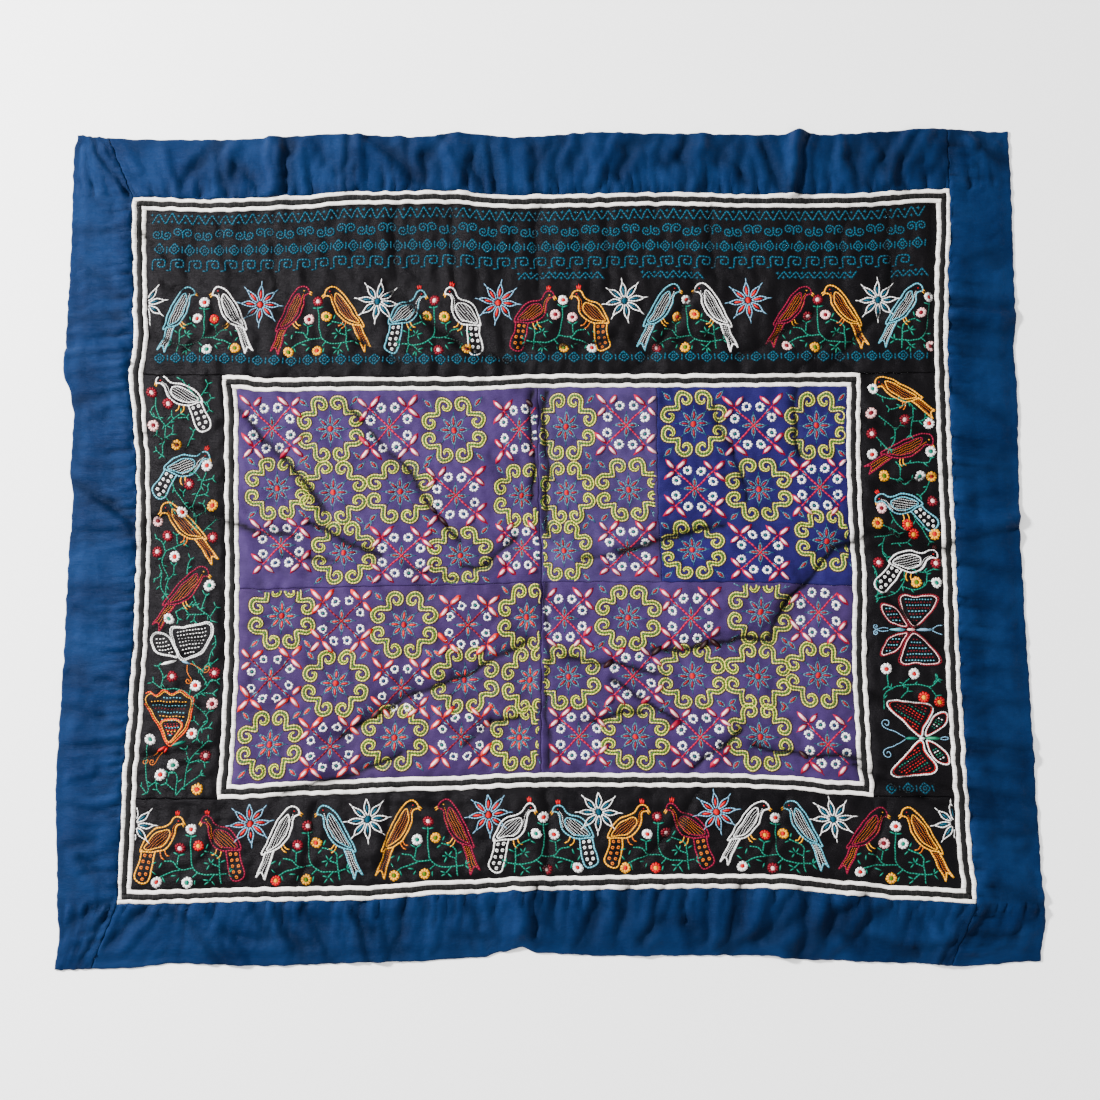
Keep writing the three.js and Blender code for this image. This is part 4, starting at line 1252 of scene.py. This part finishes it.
def fillRows(book, outline, axisTurn, colours, pitch, stitchLength, width):
    # Rows of small running stitches inside a closed outline, in the colours by turns.
    flat = turnPoints(outline, -axisTurn)
    levels = np.arange(flat[:, 1].min() + pitch * 0.8, flat[:, 1].max() - pitch * 0.4, pitch)
    for number, level in enumerate(levels):
        crossings = []
        for (x0, y0), (x1, y1) in zip(flat, np.roll(flat, -1, axis=0)):
            if (y0 - level) * (y1 - level) < 0:
                crossings.append(x0 + (x1 - x0) * (level - y0) / (y1 - y0))
        crossings.sort()
        for left, right in zip(crossings[::2], crossings[1::2]):
            if right - left > stitchLength * 2:
                row = turnPoints([(left + rowMargin, level), (right - rowMargin, level)], axisTurn)
                book.run(row, colours[number % len(colours)], width, stitchLength, rowGap)


# The birds, facing right: body, wing, tail, rows of running stitch, eye, beak and legs.
birdForms = {
    "dove": {
        "body": [(46, 48), (43, 58), (34, 64), (24, 62), (14, 54), (2, 40), (-10, 22), (-20, 4), (-33, -20),
                 (-22, -16), (-8, -14), (8, -6), (21, 8), (30, 26), (33, 42), (38, 47)],
        "wing": [(23, 50), (12, 42), (0, 26), (-12, 5), (-23, -12), (-8, -8), (6, 0), (17, 14), (25, 33)],
        "tail": [[(-24, -14), (-33, -36), (-46, -60)], [(-46, -60), (-35, -52), (-30, -68)],
                 [(-30, -68), (-19, -40), (-8, -14)]],
        "feathers": [[(-20, -18), (-29, -36), (-40, -54)], [(-16, -18), (-26, -38), (-35, -56)],
                     [(-12, -18), (-22, -40), (-30, -62)]],
        "breast": [[(33, 50), (27, 36), (22, 22), (12, 6), (-4, -7)], [(35, 45), (30, 30), (24, 14)]],
        "eye": (35, 55), "beak": [((45, 52), (53, 47)), ((44, 49), (51, 43))],
        "legs": [[(6, -8), (9, -16), (16, -20)], [(11, -5), (15, -13), (22, -14)]], "lean": 58,
    },
    "pheasant": {
        "body": [(42, 40), (38, 50), (29, 53), (21, 48), (16, 38), (6, 33), (-12, 28), (-28, 12),
                 (-38, -12), (-26, -12), (-6, -12), (12, -6), (24, 8), (27, 22), (28, 34), (34, 40)],
        "wing": [(14, 27), (2, 26), (-12, 19), (-24, 5), (-31, -8), (-14, -7), (2, -3), (13, 7), (18, 18)],
        "tail": [[(-34, -10), (-36, -30), (-44, -56), (-34, -67), (-18, -66), (-11, -40), (-8, -12)]],
        "breast": [[(30, 42), (23, 32), (21, 20), (14, 6), (0, -6)], [(32, 38), (26, 24), (22, 10)]],
        "dots": [(-27, -19), (-16, -19), (-29, -30), (-18, -30), (-32, -41), (-20, -41), (-34, -52),
                 (-22, -52), (-28, -61)],
        "eye": (32, 45), "beak": [((41, 44), (47, 36)), ((39, 42), (44, 33))],
        "crest": [((27, 53), (25, 63)), ((29, 54), (29, 65)), ((31, 53), (33, 63))],
        "legs": [[(2, -12), (4, -21), (11, -25)], [(10, -8), (13, -17), (20, -19)]], "lean": 42,
    },
}
birdFills = {"garnet": "gold", "yellow": "gold", "lightBlue": "white", "white": "white"}


# Width and length of the stitches in each part of a bird.
birdStitches = {
    "outline": (2.7, 5.0), "wing": (2.2, 4.6), "breast": (1.3, 3.1), "tail": (2.8, 5.0),
    "feather": (1.3, 3.4), "spot": (1.9, 2.6), "leg": (2.0, 5.0), "gap": 0.4,
}
wingRows = {"pitch": 4.5, "stitchLength": 3.1, "width": 1.15}


def bird(book, name, colour):
    form, fill = birdForms[name], birdFills[colour]
    sizes, gap = birdStitches, birdStitches["gap"]
    book.run(smoothPath(form["body"], closed=True), colour, *sizes["outline"])
    wing = smoothPath(form["wing"], closed=True)
    book.run(wing, colour, *sizes["wing"])
    fillRows(book, wing, form["lean"], [fill], **wingRows)
    for line in form["breast"]:
        book.run(smoothPath(line), fill, *sizes["breast"], gap)
    for line in form["tail"]:
        book.run(smoothPath(line), colour, *sizes["tail"])
    for line in form.get("feathers", []):
        book.run(smoothPath(line), fill, *sizes["feather"], gap)
    for spot in form.get("dots", []):
        book.run(arc(spot, 2.6, 0, 330, 8), fill, *sizes["spot"])
    for first, last in form.get("crest", []):
        book.stitch(first, last, "red", 3.0)
    eye = np.array(form["eye"], float)
    book.stitch(eye - (1.6, 0), eye + (1.6, 0), "yellow" if colour == "garnet" else "red", 2.4, 0.3)
    for first, last in form["beak"]:
        book.stitch(first, last, "yellow", 2.6)
    for leg in form["legs"]:
        book.run(leg, "gold" if colour == "yellow" else "yellow", *sizes["leg"])


# The butterflies: each wing's outline and the threads of its rows, the body's long stitches (start, end,
# thread, width) and the feelers (start, turn, length, side of the curl). "sides" mirrors the wings.
butterflies = {
    "dashed": {
        "sides": [1], "edge": "white", "rim": "white", "pitch": 6.4, "fillTurn": 8,
        "wings": [([(0, 0), (-16, 34), (-20, 56), (4, 56), (30, 62), (54, 64), (58, 46), (44, 16), (16, 1)],
                   ["white"]),
                  ([(-4, 5), (-26, 8), (-48, 14), (-54, 40), (-36, 48), (-16, 32)], ["white"])],
        "body": [((-4, -1), (-36, -10), "white", 7.0), ((2, -3), (20, -9), "paleBlue", 5.0)],
        "feelers": [((18, -8), -30, 30, 1), ((14, -10), -70, 26, -1)], "feelerColour": "gold",
    },
    "fan": {
        "sides": [1], "edge": "orange", "rim": "yellow", "pitch": 6.4, "fillTurn": -4,
        "wings": [([(0, 0), (-14, 26), (-32, 56), (-46, 82), (-34, 95), (-22, 86), (-8, 98), (6, 88),
                    (22, 95), (34, 84), (45, 78), (41, 56), (33, 28), (14, 6)],
                   ["lightBlue", "yellow", "lightBlue", "crimson"]),
                  ([(0, 4), (-9, 22), (-15, 40), (6, 46), (25, 36), (12, 14)], ["red", "coral"])],
        "body": [((2, -2), (36, 6), "sprig", 7.0), ((-2, -2), (-18, -10), "red", 6.0),
                 ((0, -2), (-6, -14), "red", 5.0)],
        "feelers": [((-16, -10), 200, 26, 1), ((-8, -12), 236, 24, -1)], "feelerColour": "gold",
    },
    "fourWinged": {
        "sides": [1, -1], "edge": "crimson", "rim": "palePink", "pitch": 5.2, "fillTurn": 90,
        "wings": [([(4, 2), (30, -14), (54, -22), (62, -12), (59, 10), (62, 30), (59, 52), (46, 50),
                    (28, 36), (12, 20)],
                   ["lightBlue", "crimson"]),
                  ([(4, -5), (14, -10), (36, -24), (46, -52), (38, -55), (24, -47), (11, -34)],
                   ["lightBlue", "crimson"])],
        "body": [((0, -8), (0, -40), "lightBlue", 8.0), ((0, 12), (0, 42), "paleBlue", 6.0),
                 ((0, -7), (0, 9), "palePink", 6.0)],
        "feelers": [((2, 40), 78, 24, -1), ((2, -40), -98, 22, 1)], "feelerColour": "paleBlue",
    },
    "checked": {
        "sides": [1, -1], "edge": "white", "rim": "red", "pitch": 5.0, "fillTurn": 60,
        "wings": [([(3, 4), (26, 28), (56, 60), (69, 54), (66, 20), (62, -16), (50, -23), (22, -6)],
                   ["red", "crimson", "sprig", "red"]),
                  ([(4, -7), (20, -12), (42, -26), (46, -48), (28, -46), (13, -28)],
                   ["mint", "white", "sprig"])],
        "body": [((0, -6), (0, -34), "mint", 6.0), ((0, 6), (0, 34), "sprig", 7.0),
                 ((0, -5), (0, 6), "white", 5.0)],
        "feelers": [((2, 32), 68, 40, -1), ((1, -34), -98, 16, 1)], "feelerColour": "paleBlue",
    },
}


def feeler(book, start, turn, length, side, colour):
    # A thin line that ends in a small curl.
    reach = smoothPath([(0, 0), (length * 0.5, 3), (length, 1.5)])
    wide, count = length * 0.24, 22
    curl = ringPoints(np.linspace(-90, 330, count), np.linspace(wide, length * 0.06, count))
    line = np.concatenate([reach, curl + (length, 1.5 + wide)]) * (1, side)
    book.run(turnPoints(line, turn) + start, colour, 1.5, 3.6)


# Stitches of a wing's edge and rim, and how far in the rim and the rows lie.
wingMake = {"edge": (2.6, 4.8), "rim": (1.7, 4.6), "rimShare": 0.91, "rowShare": 0.78, "row": (5.6, 1.9)}


def butterfly(book, look):
    for side in look["sides"]:
        for outline, fills in look["wings"]:
            wing = smoothPath(np.array(outline) * (side, 1), closed=True)
            book.run(wing, look["edge"], *wingMake["edge"])
            middle = wing.mean(axis=0)
            book.run(middle + (wing - middle) * wingMake["rimShare"], look["rim"], *wingMake["rim"])
            inner = middle + (wing - middle) * wingMake["rowShare"]
            fillRows(book, inner, look["fillTurn"] * side, fills, look["pitch"], *wingMake["row"])
        for start, turn, length, curled in look["feelers"]:
            heading = turn if side == 1 else 180 - turn
            feeler(book, (start[0] * side, start[1]), heading, length, curled * side, look["feelerColour"])
    for start, end, colour, width in look["body"]:
        book.stitch(start, end, colour, width, 0.3)


# Small running ornaments for the bands' rows.
def zigzagRow(book, left, right, level, pitch=24, high=10.5):
    marks = np.arange(left, right, pitch / 2)
    line = [(mark, level + (high if number % 2 else -high)) for number, mark in enumerate(marks)]
    book.run(line, "teal", 3.2, 5.6)
    for number, mark in enumerate(marks[:-1]):
        away = -high * 0.6 if number % 2 else high * 0.6
        book.stitch((mark - 4, level + away), (mark + 4, level + away), "teal", 2.8)
        book.stitch((mark, level + away - 4), (mark, level + away + 4), "teal", 2.8)


def spiralRow(book, left, right, level, pitch=37, high=11):
    # Paired curls that open up and down by turns.
    for number, mark in enumerate(np.arange(left + pitch / 2, right - pitch / 3, pitch)):
        count = 30
        curl = ringPoints(np.linspace(540, 0, count), np.linspace(1.6, pitch * 0.25, count))
        curl = curl - (pitch * 0.24, 0)
        curl = np.concatenate([curl, [(0.4, -high * 0.8)]]) + (0, high * 0.2)
        for side in (1, -1):
            book.run(curl * (side, 1 if number % 2 else -1) + (mark, level), "teal", 3.0, 4.4)


def lozengeRow(book, left, right, level, pitch=27, high=10.5):
    for mark in np.arange(left + pitch / 2, right - pitch / 3, pitch):
        ring = np.array([(0, high), (pitch * 0.36, 0), (0, -high), (-pitch * 0.36, 0), (0, high)])
        book.run(ring + (mark, level), "teal", 3.2, 5.4)
        book.run(ring * 0.4 + (mark, level), "teal", 2.6, 4.0)
        side = mark + pitch / 2
        book.run([(side, level - high * 0.6), (side, level + high * 0.6)], "teal", 3.0, 5.0)


def keyRow(book, left, right, level, pitch=33, high=10):
    for mark in np.arange(left, right - pitch, pitch):
        line = [(0, -high), (0, high), (22, high), (22, -4), (9, -4), (9, 4), (15, 4)]
        book.run(np.array(line) + (mark, level), "teal", 3.2, 5.4)
        book.stitch((mark + 24, level - high), (mark + 33, level - high), "teal", 3.2)


# What is sewn on each sheet. The centre has six rows of ten blocks: S is a scroll block, X a crossed one.
blockPlaces = [
    [(-491, 204), (-385, 200), (-279, 202), (-162, 197), (-43, 194), (41, 197), (150, 200), (272, 203),
     (380, 199), (494, 199)],
    [(-482, 94), (-380, 84), (-260, 84), (-159, 76), (-40, 72), (41, 76), (153, 81), (272, 83), (388, 82),
     (498, 88)],
    [(-476, -9), (-364, -25), (-260, -32), (-155, -33), (-44, -25), (31, -30), (147, -27), (263, -28),
     (384, -32), (506, -7)],
    [(-475, -135), (-368, -147), (-256, -157), (-141, -159), (-36, -150), (32, -152), (146, -151),
     (258, -152), (383, -139), (487, -136)],
    [(-494, -245), (-377, -257), (-260, -270), (-146, -258), (-29, -263), (39, -257), (155, -255),
     (261, -255), (378, -254), (486, -246)],
    [(-490, -361), (-383, -369), (-269, -357), (-151, -359), (-48, -365), (57, -363), (157, -363),
     (273, -364), (378, -361), (498, -366)],
]
blockWide = [1.0, 1.0, 1.0, 1.0, 0.84, 0.88, 1.0, 1.0, 1.0, 0.97]
blockTall = [1.07, 1.0, 0.95, 1.05, 1.02, 1.02]
blockKinds = ["XSXSXSXSXS", "SSSXSSSXSX", "XSXSXSXSXS", "SXSXSXSXSX", "XSXSSSXSSS", "SXSXSXSXSX"]
plainPanel = {"cross": ("pink", "palePink"), "flower": ("brick", "greyTeal", "teal"), "ragged": 0.08}
panelLooks = {
    "panel_upper_left": plainPanel, "panel_upper_middle": plainPanel, "panel_upper_right": plainPanel,
    "panel_lower_left": {"cross": ("coral", "palePink"), "flower": ("coral", "greyTeal", "teal"),
                         "ragged": 0.35},
    "panel_lower_right": {**plainPanel, "ragged": 0.12},
}


def panelAt(column, row):
    if row > 2:
        return "panel_lower_left" if column < 5 else "panel_lower_right"
    return "panel_upper_left" if column < 5 else "panel_upper_middle" if column < 7 else "panel_upper_right"


def sewPanels():
    for seed, (node, look) in enumerate(panelLooks.items()):
        book = StitchBook(node, 40 + seed)
        for row, kinds in enumerate(blockKinds):
            for column, kind in enumerate(kinds):
                if panelAt(column, row) != node:
                    continue
                wide = blockWide[column] * book.chance.uniform(1.0, 1.07)
                tall = blockTall[row] * book.chance.uniform(0.98, 1.03)
                if column == 5 and row > 2:
                    wide = 1.0
                x, y = blockPlaces[row][column]
                book.at(x, y, book.chance.uniform(-2, 2), (wide, tall))
                if kind == "S":
                    scrollBlock(book, look["flower"])
                else:
                    crossBlock(book, look["cross"], look["flower"], look["ragged"])
        sewOn(book)


# The far and near bands: each flower's place and colour, and each pair's place, form and two colours.
topStars = [
    (-511, "red"), (-298, "blue"), (-80, "red"), (149, "blue"), (372, "red"), (609, "blue"), (-722, "blue"),
]
topPairs = [
    (-613, "dove", "lightBlue", "white"), (-404, "dove", "garnet", "yellow"),
    (-195, "pheasant", "lightBlue", "white"), (35, "pheasant", "garnet", "yellow"),
    (262, "dove", "lightBlue", "white"), (498, "dove", "garnet", "yellow"),
    (704, "dove", "lightBlue", None),
]
nearStars = [
    (-721, "blue"), (-518, "red"), (-313, "blue"), (-101, "red"), (91, "blue"), (298, "red"), (501, "blue"),
    (714, "blue"),
]
nearPairs = [
    (-620, "pheasant", "yellow", "garnet"), (-415, "dove", "white", "lightBlue"),
    (-207, "dove", "yellow", "garnet"), (-5, "pheasant", "white", "lightBlue"),
    (195, "pheasant", "yellow", "garnet"), (400, "dove", "white", "lightBlue"),
    (608, "dove", "garnet", "yellow"),
]
birdBands = {
    "band_top": {"stars": topStars, "pairs": topPairs, "starLevel": 431, "birdLevel": 402, "bunchLevel": 396,
                 "birdSize": 0.92, "bunchSize": 0.95},
    "band_bottom": {"stars": nearStars, "pairs": nearPairs, "starLevel": -498, "birdLevel": -533,
                    "bunchLevel": -544, "birdSize": 0.95, "bunchSize": 0.98},
}
pairMake = {"apart": 57, "lean": 5, "wide": 0.93, "tall": (0.97, 1.06), "starSize": 0.93}


def birdPair(book, x, y, form, colours, size):
    for colour, side in zip(colours, (-1, 1)):
        if colour is None:
            continue
        turn = book.chance.uniform(-pairMake["lean"], pairMake["lean"])
        tall = size * book.chance.uniform(*pairMake["tall"])
        book.at(x + side * pairMake["apart"] * size, y, turn, (-side * size * pairMake["wide"], tall))
        bird(book, form, colour)


# A flowering plant between two birds.
bunch = {
    "stems": [[(0, 28), (0, 0), (1, -16), (5, -31), (17, -41), (32, -44), (50, -44)],
              [(4, -31), (-20, -31), (-30, -19), (-46, -16)], [(-23, -24), (-21, -6)],
              [(-18, -33), (-40, -38), (-54, -45)], [(14, -38), (4, -47)], [(24, -1), (44, -8), (50, -16)],
              [(50, -14), (51, -44), (53, -60)], [(51, -30), (38, -25)], [(42, -44), (33, -54)],
              [(51, -44), (64, -42)]],
    "leaves": [((0, 25), 18), ((0, 25), 162), ((-21, -7), 20), ((-21, -7), 150), ((-58, -18), 200),
               ((-50, -19), 250), ((-60, -40), 130), ((-50, -45), 290), ((-24, -44), 170),
               ((-20, -46), 240), ((26, 2), 70), ((24, -3), 215), ((52, -22), 25), ((36, -25), 60),
               ((36, -25), 120), ((34, -25), 175), ((34, -26), 235), ((33, -54), 160), ((33, -55), 215),
               ((35, -56), 265), ((36, -55), 310), ((66, -42), 35), ((66, -42), 75), ((66, -43), 320),
               ((8, -50), 260)],
    "flowers": [(0, 39), (-19, 7), (14, 9), (-60, -53), (-6, -55)], "leaf": 11.5,
}


def flowerBunch(book, x, y, size, top="crimson"):
    book.at(x, y, book.chance.uniform(-3, 3), (size * book.chance.choice([-1, 1]), size))
    for path in bunch["stems"]:
        book.run(smoothPath(path), "sprig", 2.5, 5.0)
    for root, turn in bunch["leaves"]:
        turn += book.chance.uniform(-9, 9)
        tip = turnPoints([(bunch["leaf"], 0)], turn)[0] + root
        book.stitch(root, tip, "sprig", 3.1)
    kinds = [top, *book.chance.choice(list(roundFlowers), len(bunch["flowers"]) - 1)]
    for place, kind in zip(bunch["flowers"], kinds):
        roundFlower(book, np.array(place, float), str(kind))


def sewOrnamentRows(book):
    # Running ornaments in rows, as long as the band is wide, and two short rows beside the birds.
    left, right = columns[outerLeft + stripCount] + 12, columns[outerRight - stripCount] - 12
    zigzagRow(book, left, right, 592)
    spiralRow(book, left, right, 563)
    lozengeRow(book, left, right, 533)
    keyRow(book, left, right, 503)
    for start, end in ((-43, 113), (182, 302), (427, 573), (636, 704)):
        zigzagRow(book, start, end, 479, 22, 7)
    lozengeRow(book, left, right, 327, 30, 9)


def sewBirdBands():
    for seed, (node, look) in enumerate(birdBands.items()):
        book = StitchBook(node, 60 + seed)
        if node == "band_top":
            sewOrnamentRows(book)
        for x, kind in look["stars"]:
            book.at(x, look["starLevel"], 0, (pairMake["starSize"], pairMake["starSize"]))
            starFlower(book, kind)
        for x, form, *colours in look["pairs"]:
            birdPair(book, x, look["birdLevel"], form, colours, look["birdSize"])
            top = str(book.chance.choice(["crimson", "white"]))
            flowerBunch(book, x, look["bunchLevel"], look["bunchSize"], top)
        sewOn(book)


# The side bands: birds (place, form, colour, turn, side, size), butterflies, flowers and stems.
sideBands = {
    "band_left": {
        "birds": [(-651, 250, "pheasant", "white", 11, -1, 0.93),
                  (-657, 122, "pheasant", "lightBlue", -23, 1, 0.93),
                  (-646, 12, "dove", "yellow", 13, -1, 0.96), (-660, -103, "dove", "garnet", -10, 1, 0.95)],
        "butterflies": [("dashed", -658, -211, 0, 1.0), ("fan", -670, -360, 3, 1.0)],
        "flowers": [(-705, 263, "crimson"), (-678, 243, "crimson"), (-707, 203, "rose"),
                    (-667, 169, "gold"), (-611, 131, "white"), (-644, 98, "crimson"), (-601, 60, "gold"),
                    (-659, 49, "white"), (-706, 32, "rose"), (-687, 6, "crimson"), (-600, 4, "crimson"),
                    (-706, -22, "crimson"), (-673, -31, "white"), (-607, -82, "pale"), (-681, -140, "pale"),
                    (-671, -241, "crimson"), (-594, -235, "crimson"), (-628, -257, "white"),
                    (-596, -288, "rose"), (-629, -340, "white"), (-702, -350, "pale"),
                    (-602, -378, "crimson"), (-659, -393, "pale"), (-678, -411, "white"),
                    (-612, -436, "gold")],
        "stems": [[(-699, 254), (-701, 233), (-691, 212), (-685, 202), (-688, 179), (-692, 166),
                   (-696, 146)],
                  [(-685, 202), (-671, 214), (-654, 226)], [(-661, 217), (-643, 218)],
                  [(-673, 231), (-673, 219)], [(-691, 216), (-705, 219), (-712, 229)],
                  [(-687, 181), (-672, 191), (-673, 200)], [(-692, 176), (-704, 188)],
                  [(-695, 148), (-707, 159)], [(-650, 162), (-636, 186), (-634, 195)],
                  [(-623, 250), (-643, 278), (-648, 287)], [(-623, 250), (-609, 269), (-602, 281)],
                  [(-623, 249), (-607, 245), (-598, 255)], [(-606, 245), (-604, 230)],
                  [(-677, 107), (-669, 83), (-648, 57), (-634, 42), (-634, 19)], [(-657, 76), (-656, 86)],
                  [(-612, 119), (-620, 103), (-622, 91), (-632, 76), (-640, 57)],
                  [(-620, 104), (-637, 122)], [(-619, 105), (-598, 108)],
                  [(-632, 76), (-609, 84), (-610, 96)], [(-672, 44), (-683, 65), (-692, 76)],
                  [(-633, 41), (-613, 53), (-620, 65)], [(-649, 43), (-636, 26)],
                  [(-620, 12), (-608, 24), (-594, 36)], [(-690, -21), (-698, -5), (-710, 2)],
                  [(-690, -21), (-671, -13), (-655, -6)], [(-669, -11), (-670, 9)],
                  [(-690, -21), (-697, -38), (-694, -49), (-685, -71), (-688, -86), (-688, -101)],
                  [(-702, -45), (-698, -62), (-711, -70)], [(-698, -65), (-697, -87), (-688, -99)],
                  [(-685, -71), (-675, -59), (-674, -45)], [(-649, -62), (-648, -47), (-642, -33)],
                  [(-638, -96), (-629, -116), (-621, -126), (-605, -137), (-602, -145)],
                  [(-621, -125), (-612, -96)], [(-668, -128), (-654, -120), (-638, -115), (-629, -116)],
                  [(-668, -128), (-662, -142)], [(-614, -131), (-648, -133)], [(-632, -131), (-634, -145)],
                  [(-605, -136), (-592, -118)], [(-597, -170), (-593, -186), (-603, -202), (-607, -220)],
                  [(-590, -210), (-603, -221), (-619, -232), (-608, -257), (-630, -278), (-627, -290),
                   (-606, -308), (-604, -320), (-616, -334), (-619, -352)],
                  [(-636, -215), (-620, -231)],
                  [(-634, -280), (-641, -270), (-660, -262), (-688, -261), (-705, -250)],
                  [(-688, -261), (-688, -238), (-697, -222)], [(-608, -257), (-601, -247), (-590, -249)],
                  [(-626, -275), (-611, -269), (-592, -271)], [(-606, -308), (-599, -299)],
                  [(-615, -334), (-596, -328)], [(-616, -326), (-629, -316)],
                  [(-634, -430), (-634, -398), (-631, -386), (-640, -364)],
                  [(-631, -388), (-617, -370), (-605, -358), (-597, -351)],
                  [(-630, -390), (-612, -386), (-602, -391)], [(-650, -445), (-634, -430), (-603, -408)],
                  [(-651, -444), (-648, -416), (-656, -405), (-664, -408)], [(-653, -436), (-668, -425)],
                  [(-706, -360), (-706, -392), (-699, -434), (-701, -443)], [(-701, -443), (-713, -428)],
                  [(-698, -432), (-684, -422)], [(-676, -444), (-685, -435)]],
    },
    "band_right": {
        "birds": [(658, 251, "dove", "yellow", 29, -1, 0.86), (646, 149, "dove", "garnet", -33, 1, 0.92),
                  (651, 51, "pheasant", "lightBlue", 33, -1, 0.88),
                  (652, -52, "pheasant", "white", -30, 1, 0.95)],
        "butterflies": [("fourWinged", 654, -163, -90, 1.0), ("checked", 666, -352, 90, 0.96)],
        "flowers": [(597, 266, "pale"), (594, 222, "rose"), (657, 211, "crimson"), (702, 203, "white"),
                    (595, 185, "crimson"), (596, 148, "white"), (703, 153, "pale"), (616, 109, "lemon"),
                    (682, 109, "pale"), (703, 108, "gold"), (702, 64, "crimson"), (609, 52, "rose"),
                    (654, 22, "scarlet"), (601, 25, "gold"), (666, 6, "scarlet"), (704, 5, "gold"),
                    (597, -45, "crimson"), (704, -46, "crimson"), (666, -80, "lemon"), (703, -80, "pale"),
                    (609, -231, "white"), (659, -240, "white"), (674, -281, "scarlet"),
                    (702, -289, "scarlet")],
        "stems": [[(600, 259), (620, 249), (651, 246), (668, 238), (673, 228), (671, 209), (665, 178)],
                  [(663, 243), (643, 232), (626, 229)], [(672, 207), (688, 208), (696, 215)],
                  [(609, 217), (626, 204), (637, 191), (637, 174), (627, 156)], [(638, 191), (651, 202)],
                  [(603, 179), (616, 165), (628, 154)],
                  [(639, 134), (647, 127), (672, 134), (697, 132), (704, 142)], [(645, 127), (645, 102)],
                  [(627, 106), (646, 101), (655, 93), (670, 106)], [(700, 101), (693, 85), (679, 73)],
                  [(624, 45), (633, 26), (650, 13), (655, 22)], [(611, 22), (626, 16), (641, 6)],
                  [(666, 42), (672, 26), (683, 13), (697, -9)], [(593, 0), (612, 2), (632, 6)],
                  [(612, 2), (607, -14), (608, -30), (614, -37)], [(624, -11), (642, -10), (655, -9)],
                  [(586, -51), (592, -63), (591, -81), (596, -102)],
                  [(644, -62), (643, -76), (637, -89), (620, -102), (590, -109)],
                  [(637, -87), (665, -93), (683, -83), (687, -63)], [(684, -79), (698, -77)],
                  [(654, -54), (668, -60), (685, -62), (700, -54)],
                  [(601, -301), (604, -276), (621, -263), (643, -259), (666, -259), (689, -262),
                   (704, -248)],
                  [(611, -241), (609, -264)], [(650, -248), (636, -259)], [(698, -240), (699, -252)],
                  [(633, -282), (647, -269)], [(688, -269), (697, -280)]],
    },
}


def sewSideBands():
    for seed, (node, look) in enumerate(sideBands.items()):
        book = StitchBook(node, 62 + seed)
        for path in look["stems"]:
            stem(book, path)
        for x, y, kind in look["flowers"]:
            book.at(x, y, book.chance.uniform(0, 30), (1.02, 1.02))
            roundFlower(book, np.zeros(2), kind)
        for x, y, form, colour, turn, side, size in look["birds"]:
            book.at(x, y, turn, (side * size, size))
            bird(book, form, colour)
        for name, x, y, turn, size in look["butterflies"]:
            book.at(x, y, turn, (size, size))
            butterfly(book, butterflies[name])
        if node == "band_right":
            lozengeRow(book.at(0, 0), 590, 700, -438, 30, 9)
        sewOn(book)


sewPanels()
print("stage: panels embroidered")
sewBirdBands()
sewSideBands()
print("stage: bands embroidered")


# The stage, light and camera. The aim, distance and tilt are metres and degrees, the focal length is
# pixels of the photograph.
studio = {
    "floor": 9.0, "floorDepth": -0.0006, "floorTone": (255, 255, 255), "floorRough": 0.9, "glow": 1.05,
    "lensAim": (0.008, -0.023, 0.0), "distance": 3.0, "tilt": 6.6, "focal": 1667.0, "photoSide": 1100,
    "sensor": 36.0,
}
lamps = {
    "keyLamp": {"place": (-4.4, 1.9, 2.6), "size": 0.9, "power": 1300},
    "fillLamp": {"place": (2.2, -1.6, 2.8), "size": 2.4, "power": 60},
}


def setStage():
    mesh = bpy.data.meshes.new("floor")
    half, depth = studio["floor"] / 2, studio["floorDepth"]
    corner = [(-half, -half, depth), (half, -half, depth), (half, half, depth), (-half, half, depth)]
    mesh.from_pydata(corner, [], [(0, 1, 2, 3)])
    floor = bpy.data.objects.new("floor", mesh)
    bpy.context.collection.objects.link(floor)
    look = {"Base Color": linear(*studio["floorTone"]), "Roughness": studio["floorRough"]}
    mesh.materials.append(newMaterial("paleFloor", look)[0])
    world = bpy.data.worlds.new("studioWorld")
    world.use_nodes = True
    background = world.node_tree.nodes["Background"]
    background.inputs[0].default_value = (1.0, 1.0, 1.0, 1.0)
    background.inputs[1].default_value = studio["glow"]
    bpy.context.scene.world = world


def addLamp(name, look):
    lamp = bpy.data.lights.new(name, "AREA")
    lamp.shape = "DISK"
    lamp.size = look["size"]
    lamp.energy = look["power"]
    holder = bpy.data.objects.new(name, lamp)
    holder.location = look["place"]
    holder.rotation_euler = (-Vector(look["place"])).to_track_quat("-Z", "Y").to_euler()
    bpy.context.collection.objects.link(holder)


def addCamera():
    s = studio
    tilt = math.radians(s["tilt"])
    aim = Vector(s["lensAim"])
    camera = bpy.data.objects.new("camera", bpy.data.cameras.new("camera"))
    camera.data.sensor_width = s["sensor"]
    camera.data.lens = s["focal"] * s["sensor"] / s["photoSide"]
    camera.location = aim + s["distance"] * Vector((0, -math.sin(tilt), math.cos(tilt)))
    camera.rotation_euler = (aim - camera.location).to_track_quat("-Z", "Y").to_euler()
    bpy.context.collection.objects.link(camera)
    bpy.context.scene.camera = camera


setStage()
for name, look in lamps.items():
    addLamp(name, look)
addCamera()
print("stage: floor, lamps and camera set")

counts = {}
for piece in bpy.context.scene.objects:
    if piece.type == "MESH":
        piece.data.calc_loop_triangles()
        counts[piece.name] = len(piece.data.loop_triangles)
print("stage:", sum(counts.values()), "triangles in all, most in one piece", max(counts.values()))
